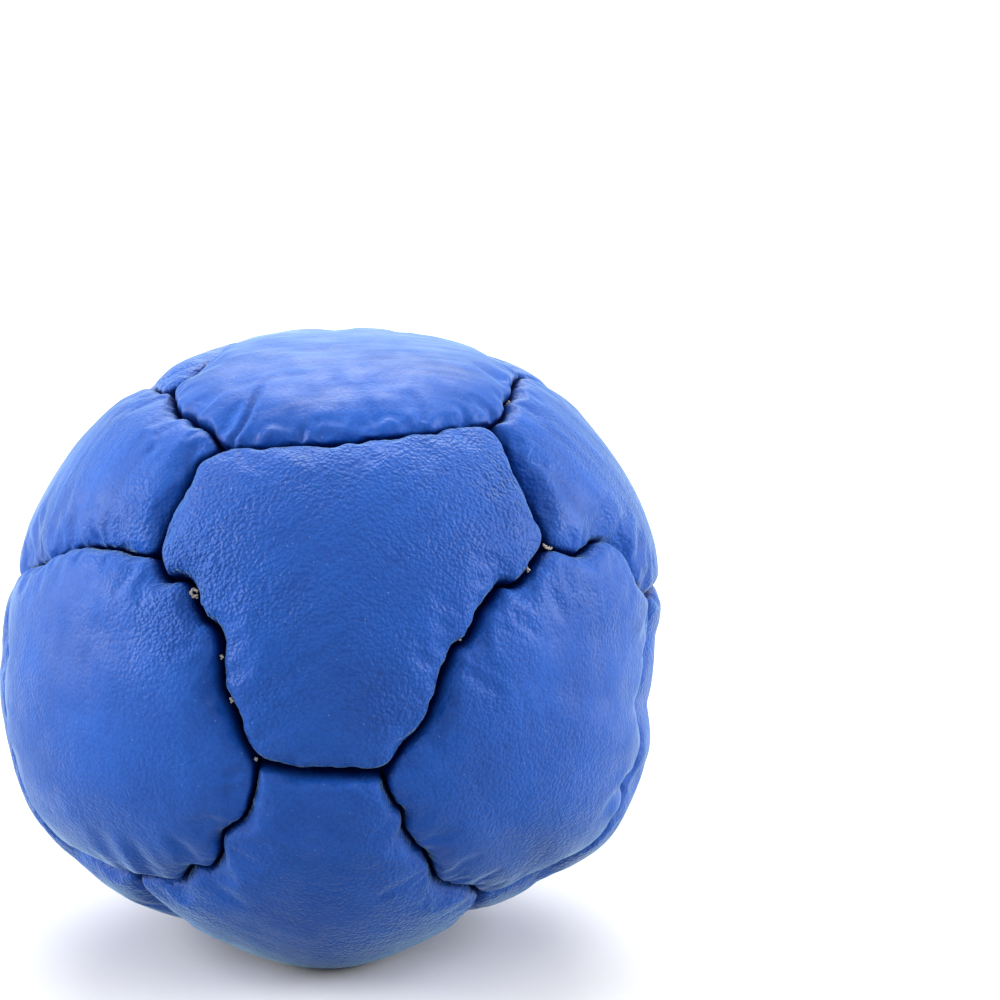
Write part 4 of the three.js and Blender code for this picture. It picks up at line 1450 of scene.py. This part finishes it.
def addLooseEnds():
    curve = strandCurve("loose_thread_ends", looseThread["radius"])
    for order, pixels in enumerate(looseEnds):
        ways = np.array([seenAt(pixel) for pixel in pixels])
        waves = np.sin(np.arange(len(ways)) * looseThread["waveTurn"] + order)
        lift = looseThread["above"] + looseThread["wave"] * waves
        level = bodyRadius(ways) * view["seamLevelShare"] + lift
        stops = bagMiddle + ways * level[:, None]
        path = evenlySpaced(curveThrough(stops, looseThread["pathSteps"]), looseThread["step"])
        spread = looseThread["spread"] + looseThread["fray"] * np.linspace(0, 1, len(path)) ** 2
        turnsPerPoint = looseThread["step"] * looseThread["twistPerMm"]
        reach = (looseThread["radius"] * spread)[:, None]
        windStrands(curve, path, looseThread["strands"], turnsPerPoint, reach)
    threadPiece(curve, threadFinish("frayed_thread", (0.20, 0.19, 0.17), (0.56, 0.52, 0.44)))


for square in squareWays:
    squareThread(square)
squares = list(squareWays)
for one in squares:
    for two in squares:
        name = "thread_" + spaced(one) + "_to_" + spaced(two)
        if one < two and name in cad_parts:
            hexagonThread(name, one, two)
addLooseEnds()
print("threads sewn")


pellets = {
    "across": 1.9,
    "wall": 1.6,            # from the ellipsoid in to the pellets
    "grooveHalf": 2.6,      # round the turned-in edges
    "grooveDepth": 5.9,
    "grooveSide": 1.8,
    "facing": 0.6,          # seams that face less than this the same way are too far off to count
    "dent": 0.45,           # of a pellet, between two of them
    "deepest": 0.8,         # and no deeper further from a pellet than this
    "lowest": 1.5,          # above the base
    "subdivisions": 7,
    "heapRadius": 24,       # about, for the pattern of the pellets
    "pale": (0.72, 0.70, 0.64),
    # darker towards the gaps between the pellets: painted shade
    "between": (0.30, 0.29, 0.26),
    "roughness": 0.5,
}


def palePellets():
    material = bpy.data.materials.new("pale_pellets")
    tree = NodeTree(material)
    # The pellets are painted darker towards their edges, as shade between them.
    cells = tree.add("TexVoronoi", {"Vector": tree.objectPlace(), "Scale": 1000 / pellets["across"]})
    shader = tree.add("BsdfPrincipled", {
        "Base Color": tree.ramp(cells.outputs["Distance"], pellets["pale"], pellets["between"]),
        "Roughness": pellets["roughness"],
    })
    tree.add("OutputMaterial", {"Surface": shader.outputs["BSDF"]})
    return material


def addPellets():
    deselectAll()
    bpy.ops.mesh.primitive_ico_sphere_add(subdivisions=pellets["subdivisions"], radius=1, location=(0, 0, 0))
    piece = bpy.context.active_object
    piece.name = "heaped_pellets"
    ways = unit(pointsOf(piece))
    away = np.full(len(ways), 1e9)
    for line in seamLines.values():
        facing = np.flatnonzero(ways @ line.mean(axis=0) > pellets["facing"])
        near = distanceToLine(ways[facing], line[::3]) * leather["chartRadius"]
        away[facing] = np.minimum(away[facing], near)
    rise = np.clip((away - pellets["grooveHalf"]) / pellets["grooveSide"], 0, 1)
    rise = rise * rise * (3 - 2 * rise)
    radius = bodyRadius(ways) - pellets["wall"] - (pellets["grooveDepth"] - pellets["wall"]) * (1 - rise)
    bumps = np.array([
        noise.voronoi(Vector(way) * pellets["heapRadius"] / pellets["across"])[0][0] for way in ways])
    radius -= pellets["across"] * pellets["dent"] * np.minimum(bumps, pellets["deepest"]) ** 2
    points = bagMiddle + ways * radius[:, None]
    points[:, 2] = np.maximum(points[:, 2], pellets["lowest"])
    setPoints(piece, points * mm)
    piece.data.shade_smooth()
    piece.data.materials.append(palePellets())
    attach(piece, "root")
    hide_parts("pellet_filling")


addPellets()
print("pellets filled in")


# Floor, lamps and background
studio = {
    "floorSize": 3.0,
    "floorToCamera": (0.86, 0.86, 0.86),
    "floorToLight": (0.37, 0.37, 0.37),
    "floorRoughness": 0.9,
    "world": 0.66,
    "top": {"place": (0.0, 0.66, 0.74), "size": 0.8, "watts": 8.1},
    "front": {"place": (0.15, -0.55, 0.9), "size": 0.6, "watts": 1.6},
    "left": {"place": (-0.85, 0.05, 0.35), "size": 0.7, "watts": 10.3},
    "right": {"place": (0.85, 0.05, 0.35), "size": 0.7, "watts": 8.3},
}


# 1 for the rays that see the room, straight or in something glossy or clear, and 0 for its light.
def raysThatSee(tree):
    path = tree.add("LightPath")
    found = path.outputs["Is Camera Ray"]
    for kind in ("Is Glossy Ray", "Is Transmission Ray"):
        found = tree.add("Math", {0: found, 1: path.outputs[kind]}, operation="MAXIMUM").outputs[0]
    return found


def addFloor():
    deselectAll()
    bpy.ops.mesh.primitive_plane_add(size=studio["floorSize"], location=(0, 0, 0))
    floor = bpy.context.active_object
    floor.name = "floor"
    material = bpy.data.materials.new("pale_floor")
    tree = NodeTree(material)
    paint = tree.blended(raysThatSee(tree), (*studio["floorToLight"], 1), (*studio["floorToCamera"], 1))
    shader = tree.add("BsdfPrincipled", {"Base Color": paint, "Roughness": studio["floorRoughness"]})
    tree.add("OutputMaterial", {"Surface": shader.outputs["BSDF"]})
    floor.data.materials.append(material)


def addLamp(name, settings):
    lamp = bpy.data.lights.new(name, "AREA")
    lamp.shape = "DISK"
    lamp.size = settings["size"]
    lamp.energy = settings["watts"]
    holder = bpy.data.objects.new(name, lamp)
    bpy.context.scene.collection.objects.link(holder)
    holder.location = settings["place"]
    way = Vector(bagMiddle * mm) - holder.location
    holder.rotation_mode = "QUATERNION"
    holder.rotation_quaternion = way.to_track_quat("-Z", "Y")


def lightWorld():
    world = bpy.data.worlds.new("white_room")
    bpy.context.scene.world = world
    tree = NodeTree(world)
    white = (1, 1, 1, 1)
    soft = tree.add("Background", {"Color": white, "Strength": studio["world"]}).outputs[0]
    seen = tree.add("Background", {"Color": white, "Strength": 1.0}).outputs[0]
    mixed = tree.add("MixShader", {"Fac": raysThatSee(tree), 1: soft, 2: seen}).outputs[0]
    tree.add("OutputWorld", {"Surface": mixed})


addFloor()
for side in ("top", "front", "left", "right"):
    addLamp("lamp_" + side, studio[side])
lightWorld()
bpy.context.scene.view_settings.view_transform = "Standard"
print("studio lit")
